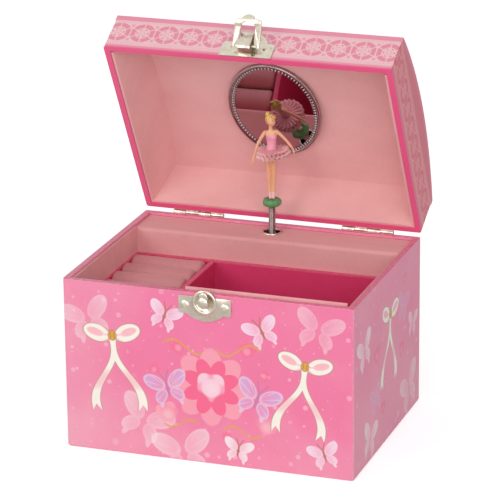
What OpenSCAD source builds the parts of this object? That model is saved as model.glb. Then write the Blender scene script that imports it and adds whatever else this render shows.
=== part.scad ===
// Wind-up musical jewellery box: a card case with a barrel-topped lid, a lined tray
// with ring rolls, a spring-mounted dancing figure and a pinned-cylinder movement.
// Millimetres. Origin at the centre of the underside, +Z up, front towards -Y.
// The lid is drawn open; the dimensions of lid parts are given for the closed lid.

/* [Case] */
// Outside width of the case, left to right
box_w = 152; // [150:1:160]
// Outside depth of the case, front to back
box_d = 116; // [115:1:120]
// Height of the case from the table to its rim
box_h = 90; // [88:1:100]
// Thickness of the greyboard walls of case and lid
wall_t = 3; // [2.5:0.1:3]
// Rounding of the paper-wrapped upright corners
corner_r = 1.2; // [0.8:0.1:2]
// Thickness of the velour-covered lining cards
lining_t = 1.2; // [1:0.1:1.4]

/* [Lid] */
// Height of the lid's straight walls
lid_wall_h = 23.4; // [22:0.2:26]
// Rise of the barrel top above the straight walls
dome_rise = 9.5; // [8:0.5:12]
// Gap between the closed lid and the case
seam = 0.4; // [0.3:0.1:0.6]
// Angle of the open lid from closed, in degrees
lid_open = 61.3; // [55:0.1:66]
// Lean of the lid's lining cards from the walls, left and right
draft_x = 20.3; // [18:0.1:21]
// Lean of the lid's lining cards from the walls, front and back
draft_y = 17.6; // [16:0.1:19]
// Height of the middle of the lining ceiling
ceiling_h = 115.5; // [115:0.1:115.6]
// Radius of the lining ceiling
ceiling_r = 330; // [310:1:340]

/* [Mirror] */
// Half width of the oval mirror frame, left to right
mirror_a = 24.9; // [22:0.1:26]
// Half length of the oval mirror frame, front to back
mirror_b = 32.1; // [28:0.1:34]
// Turn of the mirror on the lid lining, in degrees
mirror_turn = 3.4; // [0:0.1:5]
// Width of the beaded frame
mirror_rim = 3.8; // [3:0.1:4.5]

/* [Tray] */
// Depth of the tray rim below the case rim
tray_drop = 15; // [12:0.5:18]
// Thickness of the tray's paper-covered card
tray_t = 2.5; // [2:0.1:2.8]
// Left face of the divider between ring rolls and well
divider_x = -30; // [-36:1:-26]
// Number of padded ring rolls
roll_count = 6; // [5:1:7]
// Height of the roll crests above the tray rim
roll_proud = 1.5; // [1:0.1:2.5]
// Free space between the rolls' right ends and the divider
roll_end_gap = 1.3; // [0.5:0.1:2]

/* [Movement cover] */
// Front face of the movement chamber
cover_y = 33.3; // [32:0.1:34]
// Drop of the cover below the case rim
cover_drop = 1.5; // [1:0.1:2]

/* [Figure] */
// Offset of the figure's axis from the middle of the case, to the right
figure_x = -1.5; // [-2:0.1:0]
// Distance of the figure's axis behind the middle of the case
figure_y = 47.3; // [47:0.1:48.5]
// Outside diameter of the close-wound figure spring
spring_d = 3.7; // [3.4:0.1:4]
// Height of the underside of the figure's green base
figure_z = 103; // [102:0.5:105]
// Height of the bend of the figure spring
fold_z = 95; // [94:0.5:97]

/* [Clasp] */
// Width of the catch plate and of the hasp plate
clasp_w = 27.4; // [27:0.1:28]
// Offset of the clasp from the middle of the front, to the right
clasp_x = -0.5; // [-1:0.1:1]
// Height of the loop's pivot on the closed lid
loop_z = 95.6; // [95.5:0.1:95.7]
// Distance of the loop's pivot in front of the case
loop_off = 3.2; // [3.1:0.1:3.3]
// Turn of the loop from resting to latched, in degrees
loop_turn = 142; // [130:1:150]

/* [Movement] */
// Height of the winding arbor above the table
key_z = 40; // [38:1:42]
// Teeth on the contrate great wheel
great_teeth = 30; // [30:4:34]
// Teeth on the two pinions that the great wheel drives
pinion_teeth = 8; // [8:1:9]
// Module of the great wheel and its pinions
great_module = 0.7; // [0.68:0.01:0.72]
// Teeth on the cylinder's end wheel
end_teeth = 20; // [20:4:20]
// Teeth on the governor's worm wheel
worm_wheel_teeth = 16; // [16:1:16]
// Module of the governor train
fine_module = 0.5; // [0.48:0.01:0.5]
// Notes on the comb
note_count = 18; // [12:1:22]

/* [Hidden] */
$fn = 48;

// Overshoot of a cutting solid past the face it cuts
cut = 1;
// Running clearance of a shaft in its bearing
run = 0.05;
// Gap between parts that only lie beside each other
slack = 0.1;

// Case
half_w = box_w / 2;
half_d = box_d / 2;
in_x = half_w - wall_t;
in_y = half_d - wall_t;
sheet_t = 0.8;
base_t = 3;
floor_z = sheet_t + base_t;

// Lid, closed
lid_z = box_h + seam;
eave_z = lid_z + lid_wall_h;
dome_r = (half_d * half_d + dome_rise * dome_rise) / (2 * dome_rise);
dome_cz = eave_z + dome_rise - dome_r;
dome_in_r = dome_r - wall_t;

// Hinges: pivot axis behind the back wall, at the height of the seam
knuckle_r = 1.4;
hinge_pin_r = 0.7;
hinge_y = half_d + 1.8;
hinge_z = box_h + seam / 2;
leaf_t = 0.6;
leaf_face = half_d + leaf_t;
leaf_drop = 1.6;
knuckle_root = 2;
knuckles = 4;
knuckle_w = 7;
hinge_w = knuckles * knuckle_w;
hinge_edge = 15.2;
hinge_left = -half_w + hinge_edge;
hinge_right = half_w - hinge_edge - hinge_w;
leaf_h = 9.5;

// Nails
hinge_nail_z = 6;
hinge_nail_in = 4;
nail_head_r = 1.25;
nail_head_t = 0.6;
clasp_head_r = 2.4;
nail_r = 0.5;
nail_len = 3;

// Tray
tray_z = box_h - tray_drop;
tray_x = in_x - slack;
tray_front = -in_y + slack;
tray_back = cover_y - 2 * slack;
divider_r = divider_x + tray_t;
bed_left = -tray_x + tray_t + slack;
bed_right = divider_x - slack;
bed_front = tray_front + tray_t + slack;
bed_back = tray_back - tray_t - slack;
roll_pitch = (bed_back - bed_front) / roll_count;
roll_r = roll_pitch / 2 - slack;
roll_z = tray_z + roll_proud - roll_r;
bed_z = roll_z - roll_r - slack;
bed_card = 1.2;

// Movement cover
cover_z = box_h - cover_drop;
cover_t = 1.2;
fold_r = 2;
grommet_r = 4.7;
grommet_bore = 4.25;
grommet_rim = 0.6;
grommet_grip = 1;
cover_bend = cover_y + fold_r;

// Clasp, closed
plate_t = 0.8;
clasp_y = -half_d;
plate_face = clasp_y - plate_t;
loop_y = clasp_y - loop_off;
nail_x = 10.4;
clasp_nails = [clasp_x - nail_x, clasp_x + nail_x];
catch_nail_z = 83.2;
hasp_nail_z = 97.2;
catch_top = 88.3;
catch_ears = 9.1;
catch_corner = 1.2;
belly_r = 14.6;
belly_z = 90.2;
ring_z = 85.4;
ring_r = 5.5;
ring_wire = 1.1;
ring_sunk = 0.5;
rivet_r = 0.9;
stud_z = 86;
stud_r = 2.8;
stud_neck = 1.8;
stud_gap = 2.2;
stud_t = 1.2;
stud_dome = 5.5;
nose_z = 88.6;
nose_r = 2.6;
nose_edge = 1;
nose_t = 1.9;
hasp_z0 = 90.6;
hasp_z1 = 100.7;
hasp_corner = 1.6;
hasp_belly_r = 9.4;
hasp_belly_z = 98.6;
strap_w = 6.5;
strap_t = 0.9;

// Stirrup loop, measured from its pivot
bar_r = 0.75;
loop_w = 14;
leg_w = 3;
loop_t = 1;
loop_reach = 13.7;
loop_corner = 2;
arch_r = loop_w / 2 - leg_w;
arch_reach = 12.6;
kink_from = 9.6;
kink_to = 11.2;
kink = 1.1;
tab_reach = 16;
tab_r = 3.6;
tab_lean = 1.3;

// Movement: distances along X are counted from the figure's axis
mv_y = figure_y;
great_r = great_module * great_teeth / 2;
pin_r = great_module * pinion_teeth / 2;
ded = 0.8;
great_tip = 0.6;
mesh_y = mv_y + pin_r;
crown_in = great_r - 1.1;
crown_out = great_r + 0.9;
disc_y = mesh_y + ded;
disc_t = 0.8;
bed_y = 53.6;
bed_x0 = -16;
bed_x1 = 49;
bed_z0 = key_z - 27;
bed_z1 = key_z + 18;
bed_corner = 3;
lug_y = 46.3;
lug_h = 2.5;
fine_add = 0.45;
fine_ded = 0.6;
end_r = fine_module * end_teeth / 2;
idler_r = fine_module * pinion_teeth / 2;
idler_z = key_z + end_r + idler_r + 0.1;
drum_x = 14;
drum_len = 20;
drum_r = 4.9;
drum_end = drum_x + drum_len;
tip_r = 5.3;
pin_t = 0.35;
end_x = 35;
end_w = 1.6;
worm_pitch = PI * fine_module;
worm_r = 1.95;
worm_ecc = 0.45;
worm_len = 6.284;
worm_y0 = mv_y + worm_len / 2;
worm_phase = 90;
worm_x = 39.4;
wheel_r = fine_module * worm_wheel_teeth / 2;
wheel_w = 1.4;
worm_z = idler_z + wheel_r + 2.05;
arbor_r = 2;
arbor_nose = 1;
arbor_end = 66;
pivot_r = 0.6;
axle_r = 0.8;
shaft_r = 1.2;
shaft_top = 86;
tube_r = 2.6;
tube_len = 25;
tube_z = key_z + 13;
tube_lug_h = 4;
tube_lug = 3.6;
housing_r = 8.6;
housing_wall = 0.7;
housing_front = 41.5;
post_r = 13.4;
post_t = 1.5;
strap_h = 4;
bridge_x = 46.8;
bridge_y = 36.6;
bridge_t = 1;
fly_y = 43.4;
fly_len = 5.2;
fly_span = 10;
fly_t = 0.5;
screw_r = 1;
screw_len = 3.5;
screw_head_t = 1.2;
slot_w = 0.6;
slot_depth = 0.5;
bed_screw_r = 2.2;
comb_screw_r = 2.1;
screw_places = [[-12, key_z + 14], [-12, key_z - 23], [42, key_z - 23]];
comb_x0 = 12.5;
comb_x1 = 36;
comb_z0 = key_z - 26;
comb_z1 = key_z - 17;
comb_t = 0.8;
comb_screw_x = [17, 31.5];
comb_screw_z = key_z - 21.5;
comb_gap = 0.3;
comb_rake = 4;
tooth_pitch = drum_len / note_count;
tooth_end = key_z - tip_r - 0.25;
spiral_turns = 5;
spiral_in = 2.4;
spiral_out = 7.4;
strip_t = 0.35;
strip_w = 7.2;
bush_r = 3.6;
bush_flange = 5;
bush_t = 0.6;
hub_r = 3.1;
hub_len = 9;
wing_r = 6.4;
wing_x = 7.6;
wing_t = 1.4;
wing_recess = 0.4;
wing_rim = 1.8;

// Figure
wire_d = 0.62;
coil_z0 = 82.5;
coil_core = 0.3;
coil_lap = 0.01;
base_r = 4.85;
base_h = 3.9;
base_round = 1.5;
base_stem = 5;
figure_turn = 19.4;

// ---------- helpers ----------

// A solid of revolution or a bar along X, from x0
module along_x(x0, y0, z0) translate([x0, y0, z0]) rotate([90, 0, 90]) children();

// A solid drawn in X and Z and extruded towards the front, its back face at y0
module towards_front(y0) translate([0, y0, 0]) rotate([90, 0, 0]) children();

// Moves the movement and the figure sideways to the figure's axis
module on_axis() translate([figure_x, 0, 0]) children();

// A hole or a round bar along Y, from y0 backwards
module bored(x, y0, z, r, depth) translate([x, y0, z]) rotate([-90, 0, 0]) cylinder(r = r, h = depth);

// Turns closed-lid parts to the open position
module opened() {
    translate([0, hinge_y, hinge_z]) rotate([-lid_open, 0, 0]) translate([0, -hinge_y, -hinge_z]) children();
}

// Rectangle with rounded corners, centred
module round_rect(w, d, r) {
    square([w - 2 * r, d], center = true);
    square([w, d - 2 * r], center = true);
    for (sx = [-1, 1], sy = [-1, 1]) translate([sx * (w / 2 - r), sy * (d / 2 - r)]) circle(r);
}

// Outline of the case, seen from above
module case_outline() round_rect(box_w, box_d, corner_r);

// Inside of the barrel top, seen from the side
module under_dome() translate([0, dome_cz]) circle(dome_in_r, $fn = 180);

// Points of a toothed outline with straight-sided teeth, first tooth at angle a0
function polar(r, a) = [r * cos(a), r * sin(a)];
function half_angle(w, r) = w / (2 * r) * 180 / PI;
function toothed(n, r_root, r_tip, w_root, w_tip, a0) = [
    for (i = [0 : n - 1]) let (a = a0 + 360 * i / n) each [
        polar(r_root, a - half_angle(w_root, r_root)),
        polar(r_tip, a - half_angle(w_tip, r_tip)),
        polar(r_tip, a + half_angle(w_tip, r_tip)),
        polar(r_root, a + half_angle(w_root, r_root))
    ]
];
module great_pinion(len, a0) {
    linear_extrude(len) polygon(toothed(pinion_teeth, pin_r - ded, pin_r + great_tip, 0.95, 0.4, a0));
}

// One domed nail: head on the face y = 0, shank towards +Y
module nail(head_r) {
    cap_r = (head_r * head_r + nail_head_t * nail_head_t) / (2 * nail_head_t);
    rotate([-90, 0, 0]) cylinder(r = nail_r, h = nail_len);
    rotate([90, 0, 0]) rotate_extrude() intersection() {
        translate([0, nail_head_t - cap_r]) circle(cap_r, $fn = 96);
        square([head_r, nail_head_t]);
    }
}
function hinge_nail_x(h) = [h + hinge_nail_in, h + hinge_w - hinge_nail_in];
hinge_nails = concat(hinge_nail_x(hinge_left), hinge_nail_x(hinge_right));

// ---------- case ----------

module wall_blank(z0, h) translate([0, 0, z0]) linear_extrude(h) case_outline();

module front_wall() {
    color("hotpink") difference() {
        intersection() {
            wall_blank(sheet_t, box_h - sheet_t);
            translate([-half_w, -half_d, 0]) cube([box_w, wall_t, box_h]);
        }
        for (x = clasp_nails) {
            bored(x, clasp_y - cut, catch_nail_z, nail_r, wall_t + 2 * cut);
        }
    }
}

module back_wall() {
    color("hotpink") difference() {
        intersection() {
            wall_blank(sheet_t, box_h - sheet_t);
            translate([-half_w, in_y, 0]) cube([box_w, wall_t, box_h]);
        }
        for (x = hinge_nails) {
            bored(x, in_y - cut, box_h - hinge_nail_z, nail_r, wall_t + 2 * cut);
        }
        on_axis() {
            for (p = screw_places) bored(p[0], in_y - cut, p[1], screw_r, wall_t + 2 * cut);
            bored(0, in_y - cut, key_z, bush_r, wall_t + 2 * cut);
        }
    }
}

module side_wall(s) {
    translate([s > 0 ? in_x : -half_w, -in_y, sheet_t]) cube([wall_t, 2 * in_y, box_h - sheet_t]);
}
module left_wall() color("palevioletred") side_wall(-1);
module right_wall() color("palevioletred") side_wall(1);

module base_panel() {
    color("tan") translate([-in_x, -in_y, sheet_t]) cube([2 * in_x, 2 * in_y, base_t]);
}

module base_sheet() {
    color("pink") linear_extrude(sheet_t) round_rect(box_w - 1, box_d - 1, corner_r);
}

// ---------- tray ----------

module tray() {
    color("mediumvioletred") translate([0, 0, floor_z]) linear_extrude(tray_z - floor_z) difference() {
        translate([-tray_x, tray_front]) square([2 * tray_x, tray_back - tray_front]);
        translate([-tray_x + tray_t, tray_front + tray_t]) {
            square([divider_x + tray_x - tray_t, tray_back - tray_front - 2 * tray_t]);
        }
        translate([divider_r, tray_front + tray_t]) {
            square([tray_x - tray_t - divider_r, tray_back - tray_front - 2 * tray_t]);
        }
    }
}

// Folded card shelf that carries the rolls, standing on its two long flanges
module ring_bed() {
    color("mediumvioletred") translate([bed_left, 0, 0]) rotate([90, 0, 90]) {
        linear_extrude(bed_right - bed_left) difference() {
            translate([bed_front, floor_z]) square([bed_back - bed_front, bed_z - floor_z]);
            translate([bed_front + bed_card, floor_z - cut]) {
                square([bed_back - bed_front - 2 * bed_card, bed_z - bed_card - floor_z + cut]);
            }
        }
    }
}

module ring_rolls() {
    color("rosybrown") for (i = [0 : roll_count - 1]) {
        along_x(bed_left + slack, bed_front + (i + 0.5) * roll_pitch, roll_z) {
            cylinder(r = roll_r, h = bed_right - bed_left - slack - roll_end_gap);
        }
    }
}

module well_pad() {
    color("crimson") translate([divider_r + slack, bed_front, floor_z]) {
        cube([tray_x - tray_t - divider_r - 2 * slack, bed_back - bed_front, lining_t]);
    }
}

// The catch lip: a card with a rounded top that stands above the rim
lip_left = -12;
lip_right = tray_x - lining_t - 2 * slack;
lip_y = -in_y + 0.3;
lip_z = box_h + 1.5;
module front_lining() {
    color("lightpink") translate([lip_left, 0, 0]) rotate([90, 0, 90]) linear_extrude(lip_right - lip_left) {
        translate([lip_y, tray_z]) square([lining_t, lip_z - lining_t / 2 - tray_z]);
        translate([lip_y + lining_t / 2, lip_z - lining_t / 2]) circle(lining_t / 2);
    }
}

module side_lining(x0, y0) {
    color("lightpink") translate([x0, y0, tray_z]) cube([lining_t, tray_back - y0, box_h - 1 - tray_z]);
}
module left_lining() side_lining(-tray_x, tray_front);
module right_lining() side_lining(tray_x - lining_t, tray_front);

module movement_cover() {
    color("lightpink") difference() {
        translate([-tray_x, 0, 0]) rotate([90, 0, 90]) linear_extrude(2 * tray_x) difference() {
            union() {
                translate([cover_bend, cover_z - fold_r]) circle(fold_r);
                translate([cover_y, floor_z]) square([in_y - slack - cover_y, cover_z - fold_r - floor_z]);
                translate([cover_bend, floor_z]) square([in_y - slack - cover_bend, cover_z - floor_z]);
            }
            translate([cover_y + cover_t, floor_z - cut]) square([in_y, cover_z - cover_t - floor_z + cut]);
        }
        translate([figure_x, figure_y, cover_z - cover_t - cut]) {
            cylinder(r = grommet_r, h = cover_t + 2 * cut);
        }
    }
}

// Eyelet with a rolled rim above the cover and a spread foot below it
module grommet() {
    rim_middle = grommet_bore + grommet_rim;
    foot_drop = cover_t + grommet_grip;
    color("silver") translate([figure_x, figure_y, cover_z]) rotate_extrude() {
        translate([grommet_bore, -foot_drop]) square([grommet_r - grommet_bore, foot_drop]);
        intersection() {
            translate([rim_middle, 0]) circle(grommet_rim, $fn = 32);
            translate([grommet_bore, 0]) square([2 * grommet_rim, grommet_rim]);
        }
        translate([grommet_bore, -foot_drop]) square([2 * grommet_rim, grommet_grip]);
    }
}

// ---------- hinges ----------

// Leaf and knuckles of one hinge; up = 1 for the lid leaf, -1 for the case leaf
module hinge_leaf(x0, up, bore) {
    difference() {
        union() {
            for (k = [0 : knuckles - 1]) {
                if ((up > 0) == (k % 2 == 1)) {
                    along_x(x0 + k * knuckle_w + slack, hinge_y, hinge_z) {
                        cylinder(r = knuckle_r, h = knuckle_w - 2 * slack);
                    }
                    translate([x0 + k * knuckle_w + slack, half_d, up > 0 ? hinge_z : hinge_z - knuckle_root]) {
                        cube([knuckle_w - 2 * slack, leaf_t, knuckle_root]);
                    }
                }
            }
            translate([x0, half_d, up > 0 ? hinge_z + leaf_drop : hinge_z - leaf_drop - leaf_h]) {
                cube([hinge_w, leaf_t, leaf_h]);
            }
        }
        along_x(x0 - cut, hinge_y, hinge_z) cylinder(r = bore, h = hinge_w + 2 * cut);
        for (x = hinge_nail_x(x0)) {
            bored(x, half_d - cut, box_h + up * hinge_nail_z, nail_r, leaf_t + 2 * cut);
        }
    }
}

module hinge_leaves_box() {
    color("silver") for (x = [hinge_left, hinge_right]) hinge_leaf(x, -1, hinge_pin_r);
}

module hinge_leaves_lid() {
    color("silver") opened() for (x = [hinge_left, hinge_right]) hinge_leaf(x, 1, hinge_pin_r + run);
}

module hinge_pins() {
    color("gray") for (x = [hinge_left, hinge_right]) {
        along_x(x, hinge_y, hinge_z) cylinder(r = hinge_pin_r, h = hinge_w);
    }
}

module box_nails() {
    color("silver") {
        for (x = hinge_nails) translate([x, leaf_face, box_h - hinge_nail_z]) rotate([0, 0, 180]) nail(nail_head_r);
        for (x = clasp_nails) translate([x, plate_face, catch_nail_z]) nail(clasp_head_r);
    }
}

module lid_nails() {
    color("silver") opened() {
        for (x = hinge_nails) translate([x, leaf_face, box_h + hinge_nail_z]) rotate([0, 0, 180]) nail(nail_head_r);
        for (x = clasp_nails) translate([x, plate_face, hasp_nail_z]) nail(clasp_head_r);
    }
}

// ---------- clasp ----------

// Pressed catch plate with square ears, a round belly and a raised ring
module catch_outline() {
    ears_z = catch_top - catch_ears;
    corner_x = clasp_w / 2 - catch_corner;
    translate([-clasp_w / 2, ears_z + catch_corner]) square([clasp_w, catch_ears - catch_corner]);
    translate([-corner_x, ears_z]) square([2 * corner_x, catch_ears]);
    for (x = [-corner_x, corner_x]) translate([x, ears_z + catch_corner]) circle(catch_corner);
    intersection() {
        translate([0, belly_z]) circle(belly_r, $fn = 96);
        translate([-clasp_w / 2, catch_top - belly_r]) square([clasp_w, belly_r]);
    }
}
module catch_plate() {
    color("silver") difference() {
        union() {
            translate([clasp_x, 0, 0]) towards_front(clasp_y) linear_extrude(plate_t) catch_outline();
            translate([clasp_x, plate_face, ring_z]) rotate([90, 0, 0]) rotate_extrude() {
                translate([ring_r, -ring_sunk]) intersection() {
                    circle(ring_wire, $fn = 24);
                    translate([-ring_wire, ring_sunk]) square([2 * ring_wire, ring_wire]);
                }
            }
        }
        for (x = clasp_nails) {
            bored(x, plate_face - cut, catch_nail_z, nail_r, plate_t + 2 * cut);
        }
        bored(clasp_x, plate_face - cut, stud_z, rivet_r, plate_t + 2 * cut);
        bored(clasp_x, plate_face - nose_t - cut, nose_z, nose_r + slack, nose_t + cut);
    }
}

// Mushroom stud that the loop drops over, riveted through the plate, with a nose
// that stands above the plate and guides the loop
module catch_stud() {
    color("silver") translate([clasp_x, 0, 0]) {
        bored(0, plate_face, stud_z, rivet_r, plate_t);
        translate([0, plate_face, stud_z]) rotate([90, 0, 0]) rotate_extrude() {
            square([stud_neck, stud_gap + stud_t / 2]);
            intersection() {
                translate([0, stud_gap + stud_t - stud_dome]) circle(stud_dome, $fn = 96);
                translate([0, stud_gap]) square([stud_r, stud_t]);
            }
        }
        translate([0, plate_face - slack, nose_z]) rotate([90, 0, 0]) rotate_extrude() {
            square([nose_r, nose_t - nose_edge]);
            square([nose_r - nose_edge, nose_t]);
            translate([nose_r - nose_edge, nose_t - nose_edge]) intersection() {
                circle(nose_edge, $fn = 32);
                square(nose_edge);
            }
        }
    }
}

// Hasp plate on the lid front: square ears, a round belly above them, and a strap
// folded up out of it like a staple, in which the loop's bar turns
module hasp_outline() {
    corner_x = clasp_w / 2 - hasp_corner;
    translate([-clasp_w / 2, hasp_z0]) square([clasp_w, hasp_z1 - hasp_z0 - hasp_corner]);
    translate([-corner_x, hasp_z0]) square([2 * corner_x, hasp_z1 - hasp_z0]);
    for (x = [-corner_x, corner_x]) translate([x, hasp_z1 - hasp_corner]) circle(hasp_corner);
    intersection() {
        translate([0, hasp_belly_z]) circle(hasp_belly_r, $fn = 96);
        translate([-hasp_belly_r, hasp_z0]) square([2 * hasp_belly_r, 2 * hasp_belly_r]);
    }
}
module strap_side() {
    root = 0.1;
    low = 91.8;
    high = 102.5;
    out_low = 6.3;
    out_high = 7.2;
    bend = 0.8;
    translate([clasp_y, 0]) polygon([
        [root - plate_t, low], [bend - out_low, low], [-out_low, low + bend],
        [-out_high, high - 2 * bend], [bend / 2 - out_high, high - bend], [root - plate_t, high],
        [root - plate_t, high - strap_t], [strap_t - out_high, high - bend - strap_t],
        [strap_t - out_low, low + strap_t], [root - plate_t, low + strap_t]
    ]);
}
module hasp_plate() {
    color("silver") opened() difference() {
        union() {
            translate([clasp_x, 0, 0]) towards_front(clasp_y) linear_extrude(plate_t) hasp_outline();
            translate([clasp_x - strap_w / 2, 0, 0]) rotate([90, 0, 90]) linear_extrude(strap_w) strap_side();
        }
        for (x = clasp_nails) {
            bored(x, plate_face - cut, hasp_nail_z, nail_r, plate_t + 2 * cut);
        }
    }
}

// Stirrup loop: two legs and an arched cross bar, kinked towards the case so that it
// drops behind the stud's head, with a finger tab bent outwards
module loop_outline() {
    corner_x = loop_w / 2 - loop_corner;
    difference() {
        union() {
            translate([-loop_w / 2, loop_corner - loop_reach]) square([loop_w, loop_reach - loop_corner + bar_r]);
            translate([-corner_x, -loop_reach]) square([2 * corner_x, loop_corner]);
            for (x = [-corner_x, corner_x]) translate([x, loop_corner - loop_reach]) circle(loop_corner);
            intersection() {
                translate([0, tab_r - tab_reach]) circle(tab_r);
                translate([-tab_r, -tab_reach]) square([2 * tab_r, tab_reach - loop_reach + cut]);
            }
        }
        translate([0, arch_r - arch_reach]) circle(arch_r);
        translate([-arch_r, arch_r - arch_reach]) square([2 * arch_r, arch_reach]);
    }
}
module loop_side() {
    half_t = loop_t / 2;
    polygon([
        [-half_t, bar_r], [half_t, bar_r], [half_t, -kink_from], [kink + half_t, -kink_to],
        [kink + half_t, -loop_reach], [kink + half_t - tab_lean, -tab_reach], [kink - half_t - tab_lean, -tab_reach],
        [kink - half_t, -loop_reach], [kink - half_t, -kink_to], [-half_t, -kink_from]
    ]);
}
module loop_latched() {
    depth = 2 * kink + loop_t;
    along_x(-loop_w / 2 + leg_w / 2, 0, 0) cylinder(r = bar_r, h = loop_w - leg_w);
    intersection() {
        towards_front(depth) linear_extrude(2 * depth) loop_outline();
        translate([-loop_w / 2, 0, 0]) rotate([90, 0, 90]) linear_extrude(loop_w) loop_side();
    }
}
module hasp_loop() {
    color("silver") opened() translate([clasp_x, loop_y, loop_z]) rotate([-loop_turn, 0, 0]) loop_latched();
}

// ---------- lid ----------

module lid_end_profile() {
    intersection() {
        translate([-half_d, lid_z]) square([box_d, lid_wall_h + dome_rise]);
        under_dome();
    }
}

function under_dome_z(y) = dome_cz + sqrt(dome_in_r * dome_in_r - y * y);
module lid_wall_y(y0) {
    opened() difference() {
        intersection() {
            wall_blank(lid_z, lid_wall_h + dome_rise);
            translate([-half_w, 0, 0]) rotate([90, 0, 90]) linear_extrude(box_w) polygon([
                [y0, lid_z], [y0 + wall_t, lid_z],
                [y0 + wall_t, under_dome_z(y0 + wall_t)], [y0, under_dome_z(y0)]
            ]);
        }
        for (x = y0 > 0 ? hinge_nails : clasp_nails) {
            bored(x, y0 - cut, y0 > 0 ? box_h + hinge_nail_z : hasp_nail_z, nail_r, wall_t + 2 * cut);
        }
    }
}
module lid_front_wall() color("hotpink") lid_wall_y(-half_d);
module lid_back_wall() color("hotpink") lid_wall_y(in_y);

module lid_wall_x(x0) {
    opened() translate([x0, 0, 0]) rotate([90, 0, 90]) linear_extrude(wall_t) intersection() {
        lid_end_profile();
        translate([-in_y, lid_z]) square([2 * in_y, lid_wall_h + dome_rise]);
    }
}
module lid_left_wall() color("palevioletred") lid_wall_x(-half_w);
module lid_right_wall() color("palevioletred") lid_wall_x(in_x);

module lid_dome() {
    color("palevioletred") opened() translate([-half_w, 0, 0]) rotate([90, 0, 90]) linear_extrude(box_w) {
        difference() {
            intersection() {
                translate([0, dome_cz]) circle(dome_r, $fn = 180);
                translate([-half_d, lid_z]) square([box_d, lid_wall_h + dome_rise + cut]);
            }
            under_dome();
        }
    }
}

// Lining cards lean inwards from the walls; each is drawn as a sloped strip
far = 100;
lean_x = tan(draft_x);
lean_y = tan(draft_y);
foot_z = lid_z + 0.6;
foot_front_z = lip_z + 0.8;
strip_top = 120;
foot_x = in_x - slack;
foot_y = in_y - slack;

module strip(reach, foot, lean, z0) {
    polygon([
        [reach - lining_t - (z0 - foot) * lean, z0], [reach - (z0 - foot) * lean, z0],
        [reach - (strip_top - foot) * lean, strip_top],
        [reach - lining_t - (strip_top - foot) * lean, strip_top]
    ]);
}

// Space inside the four leaning planes, grown outwards by g
module funnel(g) {
    intersection() {
        translate([0, far, 0]) rotate([90, 0, 0]) linear_extrude(2 * far) polygon([
            [-foot_x + lining_t - g, foot_z], [foot_x - lining_t + g, foot_z],
            [foot_x - lining_t + g - (strip_top - foot_z) * lean_x, strip_top],
            [-foot_x + lining_t - g + (strip_top - foot_z) * lean_x, strip_top]
        ]);
        translate([-far, 0, 0]) rotate([90, 0, 90]) linear_extrude(2 * far) polygon([
            [-foot_y + lining_t - g, foot_z], [foot_y - lining_t + g, foot_z],
            [foot_y - lining_t + g - (strip_top - foot_z) * lean_y, strip_top],
            [-foot_y + lining_t - g + (strip_top - foot_z) * lean_y, strip_top]
        ]);
    }
}

module below_ceiling(extra) {
    translate([-far, 0, 0]) rotate([90, 0, 90]) linear_extrude(2 * far) intersection() {
        translate([0, ceiling_h + extra - ceiling_r]) circle(ceiling_r, $fn = 360);
        translate([-far, foot_z - cut]) square([2 * far, far]);
    }
}

module side_card(s) {
    opened() intersection() {
        mirror([s < 0 ? 1 : 0, 0, 0]) translate([0, far, 0]) rotate([90, 0, 0]) linear_extrude(2 * far) {
            strip(foot_x, foot_z, lean_x, foot_z);
        }
        translate([-far, 0, 0]) rotate([90, 0, 90]) linear_extrude(2 * far) polygon([
            [-foot_y + lining_t, foot_z], [foot_y - lining_t, foot_z],
            [foot_y - lining_t - (strip_top - foot_z) * lean_y, strip_top],
            [-foot_y + lining_t + (strip_top - foot_z) * lean_y, strip_top]
        ]);
        below_ceiling(0);
    }
}
module lid_lining_left() color("lightpink") side_card(-1);
module lid_lining_right() color("lightpink") side_card(1);

module end_card(s, z0) {
    opened() intersection() {
        mirror([0, s < 0 ? 1 : 0, 0]) translate([-far, 0, 0]) rotate([90, 0, 90]) linear_extrude(2 * far) {
            strip(foot_y, foot_z, lean_y, z0);
        }
        translate([0, far, 0]) rotate([90, 0, 0]) linear_extrude(2 * far) polygon([
            [-foot_x, foot_z], [foot_x, foot_z],
            [foot_x - (strip_top - foot_z) * lean_x, strip_top],
            [-foot_x + (strip_top - foot_z) * lean_x, strip_top]
        ]);
        below_ceiling(0);
    }
}
module lid_lining_front() color("lightpink") end_card(-1, foot_front_z);
module lid_lining_back() color("lightpink") end_card(1, foot_z);

// Bowed ceiling card that lies on the four leaning cards
module lid_ceiling() {
    color("lightpink") opened() intersection() {
        funnel(lining_t);
        difference() {
            below_ceiling(lining_t);
            below_ceiling(0);
        }
    }
}

// ---------- mirror ----------

mirror_z = 112.2;
glass_z = 113;
frame_back = 113.9;
mirror_x = -1;
glass_hold = 1;
function oval(a, b) = [for (i = [0 : 5 : 355]) [a * cos(i), b * sin(i)]];
module mirror_place(z0) {
    opened() translate([mirror_x, 0, z0]) rotate([0, 0, mirror_turn]) children();
}
module mirror_glass() {
    color("lightsteelblue") mirror_place(glass_z) linear_extrude(frame_back - glass_z) {
        polygon(oval(mirror_a - mirror_rim + glass_hold, mirror_b - mirror_rim + glass_hold));
    }
}
module mirror_frame() {
    color("silver") mirror_place(mirror_z) {
        linear_extrude(glass_z - mirror_z) difference() {
            polygon(oval(mirror_a, mirror_b));
            polygon(oval(mirror_a - mirror_rim, mirror_b - mirror_rim));
        }
        translate([0, 0, glass_z - mirror_z]) linear_extrude(frame_back - glass_z) difference() {
            polygon(oval(mirror_a, mirror_b));
            polygon(oval(mirror_a - mirror_rim + glass_hold, mirror_b - mirror_rim + glass_hold));
        }
    }
}

// ---------- movement: fixed parts ----------

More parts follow.
